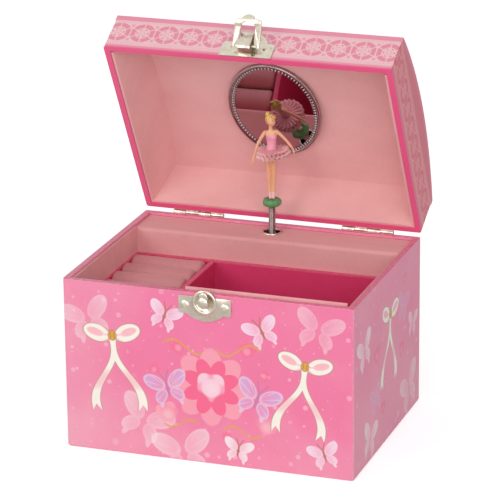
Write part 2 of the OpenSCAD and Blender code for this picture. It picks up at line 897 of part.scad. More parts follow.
// Bearing lug that stands on the bedplate, its near face at y0
module lug(x0, x1, z0, z1, y0) translate([x0, y0, z0]) cube([x1 - x0, bed_y - y0 + cut / 10, z1 - z0]);

// Slotted cheese head standing on the face z = 0
module screw_head(r) {
    difference() {
        cylinder(r = r, h = screw_head_t);
        translate([-r - cut, -slot_w / 2, screw_head_t - slot_depth]) cube([2 * (r + cut), slot_w, slot_depth + cut]);
    }
}

// Die-cast bedplate with bearing lugs and the bolster of the comb
module bedplate() {
    deep = 5;
    color("darkgoldenrod") on_axis() difference() {
        union() {
            towards_front(in_y) linear_extrude(in_y - bed_y) {
                translate([(bed_x0 + bed_x1) / 2, (bed_z0 + bed_z1) / 2]) {
                    round_rect(bed_x1 - bed_x0, bed_z1 - bed_z0, bed_corner);
                }
            }
            lug(12, 13.2, key_z - lug_h, key_z + lug_h, lug_y);
            lug(37.2, 38.2, key_z - lug_h, idler_z + lug_h, lug_y);
            lug(41, 42, idler_z - lug_h, idler_z + lug_h, lug_y);
            lug(-tube_lug, tube_lug, tube_z, tube_z + tube_lug_h, mv_y - tube_lug);
            lug(comb_x0, comb_x1, comb_z0, comb_z1, mv_y + comb_t / 2);
        }
        // well below the pinned cylinder and its end wheel
        translate([13.4, bed_y - slack / 10, key_z - 6]) cube([23.6, in_y, 12]);
        along_x(11, mv_y, key_z) cylinder(r = axle_r + run, h = 30);
        along_x(comb_x1, mv_y, idler_z) cylinder(r = pivot_r + run, h = 7);
        bored(0, bed_y - cut, key_z, arbor_r + run, deep);
        bored(worm_x, bed_y - cut, worm_z, pivot_r + run, deep);
        translate([0, mv_y, tube_z - cut]) cylinder(r = tube_r, h = tube_lug_h + 2 * cut);
        for (p = screw_places) bored(p[0], bed_y - cut, p[1], screw_r, deep);
        for (x = comb_screw_x) bored(x, mv_y, comb_screw_z, screw_r, screw_len);
    }
}

module bedplate_screws() {
    color("silver") on_axis() for (p = screw_places) {
        bored(p[0], bed_y, p[1], screw_r, half_d - bed_y);
        translate([p[0], half_d, p[1]]) rotate([-90, 0, 0]) screw_head(bed_screw_r);
    }
}

module spindle_tube() {
    color("darkgoldenrod") on_axis() translate([0, mv_y, tube_z]) difference() {
        cylinder(r = tube_r, h = tube_len);
        translate([0, 0, -cut]) cylinder(r = shaft_r + run, h = tube_len + 2 * cut);
    }
}

// Tuned steel comb: slots between the teeth reach deeper from treble to bass
module comb() {
    over = 2 * cut;
    color("gainsboro") on_axis() difference() {
        translate([comb_x0, mv_y - comb_t / 2, comb_z0]) cube([comb_x1 - comb_x0, comb_t, tooth_end - comb_z0]);
        translate([comb_x0 - cut, mv_y - cut, comb_z1]) {
            cube([drum_x + comb_gap / 2 - comb_x0 + cut, over, tooth_end]);
        }
        translate([drum_end - comb_gap / 2, mv_y - cut, comb_z1]) cube([comb_x1, over, tooth_end]);
        for (i = [1 : note_count - 1]) {
            slot_z = comb_z1 + comb_gap + comb_rake * i / note_count;
            translate([drum_x + i * tooth_pitch - comb_gap / 2, mv_y - cut, slot_z]) cube([comb_gap, over, tooth_end]);
        }
        for (x = comb_screw_x) bored(x, mv_y - cut, comb_screw_z, screw_r, over);
    }
}

module comb_screws() {
    face = mv_y - comb_t / 2;
    color("silver") on_axis() for (x = comb_screw_x) {
        bored(x, face, comb_screw_z, screw_r, screw_len);
        translate([x, face, comb_screw_z]) rotate([90, 0, 0]) screw_head(comb_screw_r);
    }
}

// Cup of the mainspring, on two posts that stand on the bedplate
module spring_housing() {
    cup_back = disc_y - 2 * slack;
    color("goldenrod") on_axis() difference() {
        union() {
            translate([0, cup_back, key_z]) rotate([90, 0, 0]) cylinder(r = housing_r, h = cup_back - housing_front);
            for (a = [180, 270]) translate([0, 0, key_z]) rotate([0, -a, 0]) {
                translate([0, housing_front, -strap_h / 2]) cube([post_r, bridge_t, strap_h]);
                translate([post_r, bed_y, 0]) rotate([90, 0, 0]) cylinder(r = post_t, h = bed_y - housing_front);
            }
        }
        translate([0, cup_back + cut, key_z]) rotate([90, 0, 0]) {
            cylinder(r = housing_r - housing_wall, h = cup_back - housing_front);
        }
        bored(0, housing_front - cut, key_z, arbor_nose + run, 2 * cut + bridge_t);
    }
}

// Mainspring: a flat steel strip wound in a spiral
module mainspring() {
    steps = spiral_turns * 20;
    step_turn = 360 / 20;
    growth = (spiral_out - spiral_in) / steps;
    inner = [for (i = [0 : steps]) polar(spiral_in + growth * i, i * step_turn)];
    outer = [for (i = [steps : -1 : 0]) polar(spiral_in + strip_t + growth * i, i * step_turn)];
    color("slategray") on_axis() translate([0, 0, key_z]) towards_front(disc_y - 3 * slack) {
        linear_extrude(strip_w) polygon(concat(inner, outer));
    }
}

module governor_bridge() {
    color("darkgoldenrod") on_axis() difference() {
        union() {
            translate([bridge_x, bed_y, worm_z]) rotate([90, 0, 0]) cylinder(r = 1.3, h = bed_y - bridge_y);
            translate([worm_x, bridge_y, worm_z - post_t]) cube([bridge_x - worm_x, bridge_t, 2 * post_t]);
            bored(worm_x, bridge_y, worm_z, post_t, bridge_t);
        }
        bored(worm_x, bridge_y - cut, worm_z, pivot_r + run, bridge_t + 2 * cut);
    }
}

module arbor_bushing() {
    color("silver") on_axis() translate([0, in_y, key_z]) rotate([-90, 0, 0]) difference() {
        union() {
            cylinder(r = bush_r, h = wall_t);
            translate([0, 0, wall_t]) cylinder(r = bush_flange, h = bush_t);
        }
        translate([0, 0, -cut]) cylinder(r = arbor_r + slack, h = wall_t + bush_t + 2 * cut);
    }
}

// ---------- movement: moving parts ----------

// Contrate wheel: teeth stand up from the rim of the disc
module great_wheel() {
    tooth_foot = 0.5;
    tooth_tip = 0.22;
    color("gold") on_axis() difference() {
        union() {
            translate([0, disc_y + disc_t, key_z]) rotate([90, 0, 0]) cylinder(r = crown_out, h = disc_t, $fn = 96);
            translate([0, 0, key_z]) for (i = [0 : great_teeth - 1]) {
                rotate([0, -360 * i / great_teeth, 0]) along_x(crown_in, 0, 0) {
                    linear_extrude(crown_out - crown_in - slack) polygon([
                        [disc_y + slack, -tooth_foot], [mesh_y - great_tip, -tooth_tip],
                        [mesh_y - great_tip, tooth_tip], [disc_y + slack, tooth_foot]
                    ]);
                }
            }
        }
        bored(0, disc_y - cut, key_z, arbor_r + run, disc_t + 2 * cut);
    }
}

module winding_arbor() {
    shoulder = housing_front + bridge_t + slack;
    color("gray") on_axis() {
        bored(0, housing_front + 2 * slack, key_z, arbor_nose, bridge_t + slack);
        bored(0, shoulder, key_z, arbor_r, arbor_end - shoulder);
    }
}

// Butterfly key screwed on the arbor
module winding_key() {
    hub_y = half_d + 2;
    wing_y = hub_y + hub_len + 0.2;
    web = [2 * wing_x, 5.6, wing_t];
    color("silver") on_axis() difference() {
        union() {
            bored(0, hub_y, key_z, hub_r, hub_len);
            for (s = [-1, 1]) translate([s * wing_x, wing_y, key_z - wing_t / 2]) difference() {
                cylinder(r = wing_r, h = wing_t);
                for (z = [wing_t - wing_recess, wing_recess - cut]) {
                    translate([s * wing_t / 2, wing_recess, z]) cylinder(r = wing_r - wing_rim, h = cut);
                }
            }
            translate([-wing_x, hub_y + hub_len / 2, key_z - wing_t / 2]) cube(web);
        }
        bored(0, hub_y - cut, key_z, arbor_r, arbor_end - hub_y + cut);
    }
}

// Pinned brass drum: the pins stand in one ring per note
module cylinder_drum() {
    root = 0.3;
    color("gold") on_axis() difference() {
        union() {
            along_x(drum_x, mv_y, key_z) cylinder(r = drum_r, h = drum_len);
            for (i = [0 : note_count - 1], k = [0 : 2]) {
                along_x(drum_x + (i + 0.5) * tooth_pitch - pin_t / 2, mv_y, key_z) {
                    rotate([0, 0, (i * 67 + k * 113 + 31 * k * i) % 360]) {
                        translate([drum_r - root, -pin_t / 2, 0]) cube([tip_r - drum_r + root, pin_t, pin_t]);
                    }
                }
            }
        }
        along_x(drum_x - cut, mv_y, key_z) cylinder(r = axle_r, h = drum_len + 2 * cut);
    }
}

// Arbor of the drum with its driving pinion and end wheel
module cylinder_arbor() {
    axle_end = 38.6;
    color("gold") on_axis() {
        along_x(crown_in, mv_y, key_z) cylinder(r = axle_r, h = axle_end - crown_in);
        along_x(crown_in, mv_y, key_z) great_pinion(crown_out - crown_in, 180 / pinion_teeth);
        along_x(end_x, mv_y, key_z) linear_extrude(end_w) {
            polygon(toothed(end_teeth, end_r - fine_ded, end_r + fine_add, 0.75, 0.3, 90));
        }
    }
}

module idler() {
    pivot_end = 42;
    color("gold") on_axis() {
        along_x(end_x - 2 * slack, mv_y, idler_z) cylinder(r = pivot_r, h = pivot_end - end_x + 2 * slack);
        along_x(end_x, mv_y, idler_z) linear_extrude(end_w) {
            polygon(toothed(pinion_teeth, idler_r - fine_ded, idler_r + fine_add, 0.65, 0.28, -90 + 180 / pinion_teeth));
        }
        along_x(worm_x - wheel_w / 2, mv_y, idler_z) linear_extrude(wheel_w) {
            polygon(toothed(worm_wheel_teeth, wheel_r - 0.45, wheel_r + 0.35, 0.7, 0.2, 90));
        }
    }
}

// Governor worm: an eccentric disc swept along its axis makes a single-start thread
module governor_worm() {
    turns = worm_len / worm_pitch;
    pivot_back = in_y - 0.4;
    color("ivory") on_axis() {
        translate([worm_x, worm_y0, worm_z]) rotate([90, 0, 0]) {
            rotate([0, 0, worm_phase]) linear_extrude(worm_len, twist = -360 * turns, slices = 44) {
                translate([worm_ecc, 0]) circle(worm_r, $fn = 14);
            }
        }
        bored(worm_x, bridge_y + 0.3, worm_z, pivot_r, pivot_back - bridge_y - 0.3);
    }
}

module governor_fly() {
    collar_r = 1.3;
    color("ivory") on_axis() translate([worm_x, fly_y, worm_z]) rotate([90, 0, 0]) difference() {
        union() {
            cylinder(r = collar_r, h = fly_len);
            translate([-fly_span / 2, -fly_t / 2, 2 * slack]) cube([fly_span, fly_t, fly_len - 4 * slack]);
        }
        translate([0, 0, -cut]) cylinder(r = pivot_r, h = fly_len + 2 * cut);
    }
}

module spindle() {
    collar_z = tube_z + tube_len + slack;
    color("silver") on_axis() translate([0, mv_y, 0]) {
        translate([0, 0, key_z + crown_in]) cylinder(r = shaft_r, h = shaft_top - key_z - crown_in);
        translate([0, 0, key_z + crown_in]) great_pinion(crown_out - crown_in, 90);
        translate([0, 0, collar_z]) cylinder(r = 2.2, h = 1.2);
    }
}

// ---------- figure ----------

// Close-wound spring, drawn as a stack of rings of wire
module figure_spring() {
    coil_h = figure_z - coil_z0 - slack;
    coils = floor(coil_h / wire_d);
    coil_pitch = coil_h / coils;
    color("silver") on_axis() translate([0, figure_y, coil_z0]) rotate_extrude() {
        for (i = [0 : coils - 1]) {
            translate([spring_d / 2 - wire_d / 2, (i + 0.5) * coil_pitch]) circle(coil_pitch / 2 + coil_lap, $fn = 16);
        }
        translate([spring_d / 2 - wire_d + run, 0]) square([coil_core, coil_h]);
    }
}

// Green moulded foot with a stem that is pushed into the spring
module figure_base() {
    round_x = base_r - base_round;
    color("seagreen") on_axis() translate([0, figure_y, figure_z]) {
        translate([0, 0, -base_stem]) cylinder(r = spring_d / 2 - wire_d - run, h = base_stem + slack);
        rotate_extrude() {
            square([round_x, base_h]);
            translate([0, base_round]) square([base_r, base_h - 2 * base_round]);
            for (z = [base_round, base_h - base_round]) translate([round_x, z]) circle(base_round);
        }
    }
}

// Places the dancer's own axes: X to her left, -Y the way she faces
module facing() on_axis() translate([0, figure_y, 0]) rotate([0, 0, figure_turn]) children();

// One tapered limb with a round end at p, from p to q
function vlen(v) = sqrt(v[0] * v[0] + v[1] * v[1] + v[2] * v[2]);
module limb(p, q, r1, r2) {
    d = q - p;
    translate(p) rotate([0, acos(d[2] / vlen(d)), atan2(d[1], d[0])]) cylinder(r1 = r1, r2 = r2, h = vlen(d), $fn = 20);
    translate(p) sphere(r1, $fn = 16);
}

// Moulded dancer, feet together, her right arm low and her left arm held out
toe_z = 106.95;
ankle_z = 111;
knee_z = 119.8;
hip_z = 131.5;
waist_z = 136.4;
bust_z = 140.4;
collar_z = 143.2;
head_at = [-0.4, 0, 149.4];
chin_at = [-0.3, -0.3, 147.9];
bun_at = [-1.8, 0.4, 152.2];
right_shoulder = [-3.5, 0, 142.6];
right_elbow = [-7.4, -0.6, 136.8];
right_wrist = [-9.6, -1.4, 130.6];
right_tip = [-10.6, -1.9, 126.8];
left_shoulder = [2.85, 0, 142.9];
left_elbow = [7.3, -0.6, 138.8];
left_wrist = [10.7, -1.2, 134.4];
left_tip = [11.6, -1.8, 131.5];
arm_r = 0.95;
wrist_r = 0.6;
joint_step = 0.05;
module arm(shoulder, elbow, wrist, tip) {
    limb(shoulder, elbow, arm_r + joint_step, arm_r - 0.2);
    limb(elbow, wrist, arm_r - 0.2 + joint_step, wrist_r);
    limb(wrist, tip, wrist_r + joint_step, wrist_r / 2);
}
module leg(s) {
    limb([s * 0.95, -0.2, toe_z + 0.8], [s * 1.05, 0, ankle_z], 0.85, 0.9);
    limb([s * 1.05, 0, ankle_z], [s * 1.25, 0, knee_z], 0.9 + joint_step, 1.2);
    limb([s * 1.25, 0, knee_z], [s * 1.45, 0, hip_z], 1.2 + joint_step, 1.4);
}
module figure_dancer() {
    hip_r = 2.9;
    waist_r = 2.1;
    bust_r = 2.7;
    neck_r = 1;
    head_r = 2.7;
    chin_r = 2;
    bun_r = 1.3;
    color("sandybrown") facing() {
        for (s = [-1, 1]) leg(s);
        translate([0, 0, hip_z - 2]) cylinder(r1 = 2, r2 = hip_r, h = 2, $fn = 24);
        translate([0, 0, hip_z]) cylinder(r1 = hip_r, r2 = waist_r, h = waist_z - hip_z, $fn = 24);
        translate([0, 0, waist_z]) cylinder(r1 = waist_r, r2 = bust_r, h = bust_z - waist_z, $fn = 24);
        translate([0, 0, bust_z]) cylinder(r1 = bust_r, r2 = neck_r, h = collar_z + 0.6 - bust_z, $fn = 24);
        translate([-0.4, 0, collar_z]) cylinder(r = neck_r, h = head_at[2] - collar_z, $fn = 24);
        translate(head_at) sphere(head_r, $fn = 24);
        translate(chin_at) sphere(chin_r, $fn = 24);
        translate(bun_at) sphere(bun_r, $fn = 20);
        limb(right_shoulder, left_shoulder, arm_r, arm_r);
        arm(right_shoulder, right_elbow, right_wrist, right_tip);
        arm(left_shoulder, left_elbow, left_wrist, left_tip);
    }
}

// Moulded skirt of three thin tiers with a fluted edge, a little higher on her left
flutes = 22;
flute_r = 0.62;
skirt_r = 8.9;
skirt_lean = 5;
skirt_x = 0.6;
skirt_z = 132;
module figure_tutu() {
    hole_r = 3;
    color("lightpink") facing() difference() {
        translate([skirt_x, 0, skirt_z]) rotate([0, -skirt_lean, 0]) difference() {
            rotate_extrude($fn = 96) polygon([
                [hole_r - 1, -1.2], [skirt_r - 0.9, -2.4], [skirt_r - 0.8, -1.6], [skirt_r - 2, -1],
                [skirt_r, -1.4], [skirt_r, -0.5], [skirt_r - 2, 0.4], [skirt_r - 0.6, 0.3],
                [skirt_r - 0.5, 1.4], [hole_r - 1, 2]
            ]);
            for (i = [0 : flutes - 1]) rotate([0, 0, 360 * i / flutes]) {
                translate([skirt_r + flute_r / 2, 0, -4]) cylinder(r = flute_r, h = 8, $fn = 20);
            }
        }
        translate([0, 0, skirt_z - 10]) cylinder(r = hole_r, h = 20, $fn = 24);
    }
}

// ---------- assembly ----------

front_wall();
back_wall();
left_wall();
right_wall();
base_panel();
base_sheet();
tray();
ring_bed();
ring_rolls();
well_pad();
front_lining();
left_lining();
right_lining();
movement_cover();
grommet();
hinge_leaves_box();
hinge_pins();
box_nails();
catch_plate();
catch_stud();
bedplate();
bedplate_screws();
spindle_tube();
comb();
comb_screws();
spring_housing();
mainspring();
governor_bridge();
arbor_bushing();
lid_front_wall();
lid_back_wall();
lid_left_wall();
lid_right_wall();
lid_dome();
lid_lining_front();
lid_lining_back();
lid_lining_left();
lid_lining_right();
lid_ceiling();
mirror_glass();
mirror_frame();
hinge_leaves_lid();
lid_nails();
hasp_plate();
hasp_loop();
great_wheel();
winding_arbor();
winding_key();
cylinder_drum();
cylinder_arbor();
idler();
governor_worm();
governor_fly();
spindle();
figure_spring();
figure_base();
figure_dancer();
figure_tutu();
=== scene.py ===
import math
from functools import partial, partialmethod, reduce
import bpy
import bmesh
import numpy as np
from mathutils import Matrix, Vector


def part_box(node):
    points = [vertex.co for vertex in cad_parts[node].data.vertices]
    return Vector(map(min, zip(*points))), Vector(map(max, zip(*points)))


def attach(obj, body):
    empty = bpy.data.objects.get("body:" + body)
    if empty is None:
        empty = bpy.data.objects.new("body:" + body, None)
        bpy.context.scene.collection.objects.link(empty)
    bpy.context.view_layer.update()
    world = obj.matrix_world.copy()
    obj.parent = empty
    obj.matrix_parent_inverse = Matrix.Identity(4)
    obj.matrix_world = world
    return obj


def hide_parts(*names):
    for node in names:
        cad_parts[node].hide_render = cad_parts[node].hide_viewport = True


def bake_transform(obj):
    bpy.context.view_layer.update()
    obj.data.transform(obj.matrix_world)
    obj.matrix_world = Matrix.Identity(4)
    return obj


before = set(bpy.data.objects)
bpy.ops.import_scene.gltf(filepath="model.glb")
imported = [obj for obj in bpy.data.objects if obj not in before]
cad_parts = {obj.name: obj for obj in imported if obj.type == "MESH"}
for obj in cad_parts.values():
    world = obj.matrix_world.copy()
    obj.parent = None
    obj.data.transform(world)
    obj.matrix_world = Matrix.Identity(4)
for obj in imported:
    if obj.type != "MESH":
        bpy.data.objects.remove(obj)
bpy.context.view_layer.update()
mm = 0.001

# ---------------------------------------------------------------- the table it stands on
# A pale table, a wide soft lamp in front, a smaller one at the left, and a long
# lens that looks down on the open box from a little to the right of its front.
view_azimuth, view_elevation, view_roll = map(math.radians, (19.42, 18.71, -0.59))
view_target = Vector((2.8, 0.0, 94.2)) * mm
view_distance = 1517 * mm

def put(name, data):
    """A new object of this data, linked into the scene."""
    piece = bpy.data.objects.new(name, data)
    bpy.context.scene.collection.objects.link(piece)
    return piece

def aimed(azimuth, elevation, roll=0.0):
    back = Vector((math.sin(azimuth) * math.cos(elevation), -math.cos(azimuth) * math.cos(elevation),
        math.sin(elevation)))
    level = Vector((math.cos(azimuth), math.sin(azimuth), 0))
    right = level * math.cos(roll) + back.cross(level) * math.sin(roll)
    turn = Matrix((right, back.cross(right), back)).transposed().to_4x4()
    return turn, back

turn, back = aimed(view_azimuth, view_elevation, view_roll)
camera = put("camera", bpy.data.cameras.new("camera"))
camera.data.lens = 215.55
camera.data.sensor_width = 36
camera.data.clip_start, camera.data.clip_end = 0.1, 20
camera.matrix_world = Matrix.Translation(view_target + back * view_distance) @ turn
bpy.context.scene.camera = camera
bpy.context.scene.view_settings.view_transform = "Standard"

def soft_lamp(name, azimuth, elevation, distance, size, watts, colour):
    lamp = put(name, bpy.data.lights.new(name, "AREA"))
    lamp.data.shape, lamp.data.size, lamp.data.energy, lamp.data.color = "DISK", size, watts, colour
    turn, back = aimed(math.radians(azimuth), math.radians(elevation))
    lamp.matrix_world = Matrix.Translation(Vector((0, 0, 0.09)) + back * distance) @ turn

soft_lamp("lamp_front", 26, 20, 2.2, 2.0, 21, (1, 1, 1))
soft_lamp("lamp_left", -32, 26, 1.9, 0.9, 7.5, (1, 0.985, 0.96))

class Wiring:
    """Adds nodes to one tree. Numbers, vectors and sockets mix freely as inputs."""
    def __init__(self, tree):
        self.tree = tree

    def add(self, kind, inputs=None, **settings):
        node = self.tree.nodes.new(kind)
        for name, value in settings.items():
            setattr(node, name, value)
        for name, value in (inputs or {}).items():
            self.feed(node.inputs[name], value)
        return node

    def vector(self, operation, *values):
        node = self.add("ShaderNodeVectorMath", dict(enumerate(values)), operation=operation)
        return node.outputs["Value" if operation in ("DOT_PRODUCT", "LENGTH") else "Vector"]

    def feed(self, socket, value):
        if isinstance(value, bpy.types.NodeSocket):
            self.tree.links.new(value, socket)
        else:
            socket.default_value = value

    def math(self, operation, *values, clamp=False):
        node = self.add("ShaderNodeMath", operation=operation, use_clamp=clamp)
        for socket, value in zip(node.inputs, values):
            self.feed(socket, value)
        return node.outputs[0]

    times, over = partialmethod(math, "MULTIPLY"), partialmethod(math, "DIVIDE")
    plus, minus = partialmethod(math, "ADD"), partialmethod(math, "SUBTRACT")
    size_of, root = partialmethod(math, "ABSOLUTE"), partialmethod(math, "SQRT")

    def most(self, *values):
        return reduce(partial(self.math, "MAXIMUM"), values)

    def product(self, *values):
        return reduce(self.times, values)

    def near(self, value, middle, full, gone):
        """1 within full of the middle, and 0 farther away from it than gone."""
        return self.fade(self.size_of(self.minus(value, middle)), full, gone, 1, 0)

    def fade(self, value, low, high, to_low=0.0, to_high=1.0):
        """Smooth step: to_low where value is at low, to_high where it is at high."""
        node = self.add("ShaderNodeMapRange",
            {"Value": value, "From Min": low, "From Max": high, "To Min": to_low, "To Max": to_high},
            interpolation_type="SMOOTHSTEP")
        return node.outputs["Result"]

    def blend(self, amount, under, over):
        """Colour under with colour over laid on it by amount."""
        node = self.add("ShaderNodeMix", data_type="RGBA", clamp_factor=True)
        self.feed(node.inputs[0], amount)
        for socket, value in ((node.inputs[6], under), (node.inputs[7], over)):
            self.feed(socket, value if isinstance(value, bpy.types.NodeSocket) else (*value[:3], 1))
        return node.outputs[2]

    def part(self, vector):
        return self.add("ShaderNodeSeparateXYZ", {0: vector}).outputs

    def noise(self, vector, scale, detail=2.0, roughness=0.5):
        return self.add("ShaderNodeTexNoise",
            {"Vector": vector, "Scale": scale, "Detail": detail, "Roughness": roughness}).outputs["Fac"]

    def coat(self, colour, roughness=None, height=None, strength=0.2, depth=0.0002):
        """Feeds the material's shader: colour, roughness, and a bump of this height."""
        self.feed(self.shader.inputs["Base Color"], colour)
        if roughness is not None:
            self.feed(self.shader.inputs["Roughness"], roughness)
        if height is not None:
            bump = self.add("ShaderNodeBump", {"Height": height, "Strength": strength, "Distance": depth})
            self.feed(self.shader.inputs["Normal"], bump.outputs[0])

    def use(self, group, **inputs):
        node = self.tree.nodes.new("ShaderNodeGroup")
        node.node_tree = group
        for name, value in inputs.items():
            self.feed(node.inputs[name.replace("_", " ")], value)
        return node.outputs

def new_group(name, inputs, outputs):
    """A node group with named sockets, its wiring, its inputs and the function that sets an output.
    Sockets are listed like "Point: vector, Size"; one without a kind is a plain number."""
    tree = bpy.data.node_groups.new(name, "ShaderNodeTree")
    kinds = {"vector": "NodeSocketVector", "": "NodeSocketFloat", "colour": "NodeSocketColor"}
    for direction, sockets in (("INPUT", inputs), ("OUTPUT", outputs)):
        for socket, _, kind in (listed.partition(": ") for listed in sockets.split(", ")):
            tree.interface.new_socket(name=socket, in_out=direction, socket_type=kinds[kind])
    w = Wiring(tree)
    start, end = tree.nodes.new("NodeGroupInput"), tree.nodes.new("NodeGroupOutput")
    return tree, w, start.outputs, lambda socket, value: w.feed(end.inputs[socket], value)

def new_finish(name, roughness, metallic=0.0, **plain):
    """A material, its wiring and the point in millimetres. Constants sit on the shader's own sockets."""
    material = bpy.data.materials.new(name)
    material.use_nodes = True
    w = Wiring(material.node_tree)
    w.shader = material.node_tree.nodes["Principled BSDF"]
    for socket, value in {"Roughness": roughness, "Metallic": metallic, **plain}.items():
        w.shader.inputs[socket.replace("_", " ")].default_value = value
    point = w.vector("MULTIPLY", w.add("ShaderNodeTexCoord").outputs["Object"], (1000, 1000, 1000))
    return material, w, point

floor = put("table_top", bpy.data.meshes.new("table_top"))
floor.data.from_pydata([(-4, -3, 0), (4, -3, 0), (4, 5, 0), (-4, 5, 0)], [], [(0, 1, 2, 3)])
table_paint, w, point = new_finish("table_paint", 0.85)
rays = w.add("ShaderNodeLightPath").outputs
seen = w.most(rays["Is Camera Ray"], rays["Is Transmission Ray"])
mottle = w.noise(point, 0.003)
w.coat(w.blend(mottle, (0.86, 0.86, 0.86), (0.88, 0.88, 0.88)))
glow = w.add("ShaderNodeEmission", {"Color": (1, 1, 1, 1), "Strength": w.times(seen, 0.5)})
lit = w.add("ShaderNodeAddShader", {0: w.shader.outputs[0], 1: glow.outputs[0]})
w.feed(w.tree.nodes["Material Output"].inputs["Surface"], lit.outputs[0])
floor.data.materials.append(table_paint)

world = bpy.data.worlds.new("studio")
bpy.context.scene.world = world
world.use_nodes = True
w = Wiring(world.node_tree)
rays = w.add("ShaderNodeLightPath").outputs
seen = w.most(rays["Is Camera Ray"], rays["Is Transmission Ray"])
to_left = w.vector("DOT_PRODUCT", w.add("ShaderNodeTexCoord").outputs["Generated"], (-0.8, -0.2, 0.55))
shone = w.add("ShaderNodeMix", {0: rays["Is Glossy Ray"], 2: 0.52,
    3: w.fade(to_left, -0.35, 0.45, 0.10, 1.0)}).outputs[0]
sky = world.node_tree.nodes["Background"]
w.feed(sky.inputs["Strength"], w.add("ShaderNodeMix", {0: seen, 2: shone, 3: 1.0}).outputs[0])
sky.inputs["Color"].default_value = (1, 1, 1, 1)

# ---------------------------------------------------------------- case walls
# Four walls of 3 mm greyboard, butted and glued, then wrapped in one sheet of printed,
# satin-laminated paper that is turned over the rim and down the inside.
case_x, case_y, case_top = 76.0, 58.0, 90.0
rim_skin, turn_in = 0.12, 1.3

def paint(finish, *names):
    """Gives CAD nodes their finish; their shape stays as it is."""
    for name in names:
        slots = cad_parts[name].data.materials
        slots.clear()
        slots.append(finish)

# masks of a wrapped box: which face of the wrap a point is on
wrap_faces, w, come, give = new_group("wrap_faces", "Point: vector, Rim, Rim Side", "Side, Rim, Inside")
x, y, z = w.part(come["Point"])
out_x = w.minus(w.size_of(x), case_x)
out_y = w.minus(w.size_of(y), case_y)
out_z = w.times(w.minus(z, come["Rim"]), come["Rim Side"])
give("Side", w.math("GREATER_THAN", out_x, out_y))
give("Rim", w.math("GREATER_THAN", out_z, -rim_skin))
give("Inside", w.math("LESS_THAN", w.most(out_x, out_y, out_z), -turn_in))

# a point on a printed sheet, seen from a motif's own middle, turn and size
motif_place, w, come, give = new_group("motif_place", "Point: vector, Middle: vector, Turn: vector, Size: vector",
    "Point: vector")
give("Point", w.add("ShaderNodeMapping", {"Vector": come["Point"], "Location": come["Middle"],
    "Rotation": come["Turn"], "Scale": come["Size"]}, vector_type="TEXTURE").outputs[0])

def round_mask(w, x, y, middle, radii, turn=0.0, soft=0.12):
    """Mask of a turned ellipse in a flat drawing."""
    c, s = math.cos(turn), math.sin(turn)
    dx, dy = w.minus(x, middle[0]), w.minus(y, middle[1])
    u = w.over(w.plus(w.times(dx, c), w.times(dy, s)), radii[0])
    v = w.over(w.minus(w.times(dy, c), w.times(dx, s)), radii[1])
    reach = w.root(w.plus(w.times(u, u), w.times(v, v)))
    return w.fade(reach, 1 - soft / 2, 1 + soft / 2, 1, 0), reach

# heart one unit high and wide either way of its middle
heart, w, come, give = new_group("heart", "Point: vector", "Mask, Depth")
x, y, z = w.part(come["Point"])
xx, yy = w.times(x, x), w.times(y, y)
lump = w.minus(w.plus(xx, yy), 1)
edge = w.minus(w.times(w.times(lump, lump), lump), w.times(xx, w.times(yy, y)))
give("Mask", w.fade(edge, -0.12, 0.12, 1, 0))
give("Depth", w.fade(edge, -0.9, 0.0, 1, 0))

# butterfly with a wing span of two units
butterfly, w, come, give = new_group("butterfly", "Point: vector", "Wings, Veins, Body, Spread")
x, y, z = w.part(come["Point"])
ax = w.size_of(x)
upper, upper_reach = round_mask(w, ax, y, (0.56, 0.36), (0.56, 0.34), 0.66)
lower, lower_reach = round_mask(w, ax, y, (0.40, -0.34), (0.38, 0.27), -0.85)
tail, _ = round_mask(w, ax, y, (0.46, -0.66), (0.10, 0.24), 0.25, 0.3)
give("Wings", w.most(upper, lower, tail))
rays_out = w.math("SINE", w.times(w.math("ARCTAN2", y, w.plus(ax, 0.02)), 17))
give("Veins", w.most(w.fade(rays_out, 0.75, 1.0), w.fade(w.math("MINIMUM", upper_reach, lower_reach), 0.72, 0.9)))
body, _ = round_mask(w, ax, y, (0, -0.02), (0.065, 0.42), 0, 0.4)
feeler = w.size_of(w.minus(ax, w.times(w.minus(y, 0.34), 0.5)))
feelers = w.times(w.fade(feeler, 0.02, 0.045, 1, 0),
    w.times(w.math("GREATER_THAN", y, 0.36), w.math("LESS_THAN", y, 0.86)))
give("Body", w.most(body, feelers))
give("Spread", w.fade(ax, 0.0, 1.0))

# tied ribbon bow, two units wide, its tails hanging three units down
bow, w, come, give = new_group("bow", "Point: vector", "Ribbon, Fold, Knot, Line")
x, y, z = w.part(come["Point"])
ax = w.size_of(x)
loop, loop_reach = round_mask(w, ax, y, (0.54, 0.14), (0.50, 0.30), 0.34)
hollow, _ = round_mask(w, ax, y, (0.60, 0.17), (0.30, 0.13), 0.34, 0.3)
sway = w.times(w.math("SINE", w.times(y, 2.3)), 0.20)
middle_line = w.plus(w.times(y, -0.27), w.plus(sway, 0.06))
off_line = w.size_of(w.minus(ax, middle_line))
half = w.plus(w.times(y, -0.035), 0.085)
inside = w.fade(w.minus(off_line, half), -0.02, 0.02, 1, 0)
slant = w.plus(y, w.times(off_line, 1.4))
below = w.times(w.math("LESS_THAN", y, 0.02), w.fade(slant, -2.42, -2.38))
tails = w.times(inside, below)
give("Ribbon", w.most(loop, tails))
pleat = w.fade(w.math("SINE", w.times(w.math("ARCTAN2", w.minus(y, 0.02), w.plus(ax, 0.01)), 9)), 0.3, 1.0)
shade = w.times(pleat, w.fade(ax, 0.7, 0.1, 0, 1))
twist = w.times(tails, w.fade(w.math("SINE", w.times(y, 3.1)), 0.2, 1.0))
give("Fold", w.most(w.times(hollow, loop), w.times(shade, loop), w.times(twist, 0.7)))
knot, knot_reach = round_mask(w, ax, y, (0, 0.04), (0.15, 0.17), 0, 0.1)
give("Knot", knot)
outline = w.near(loop_reach, 1, 0.03, 0.07)
tail_line = w.times(w.near(off_line, half, 0.008, 0.025), below)
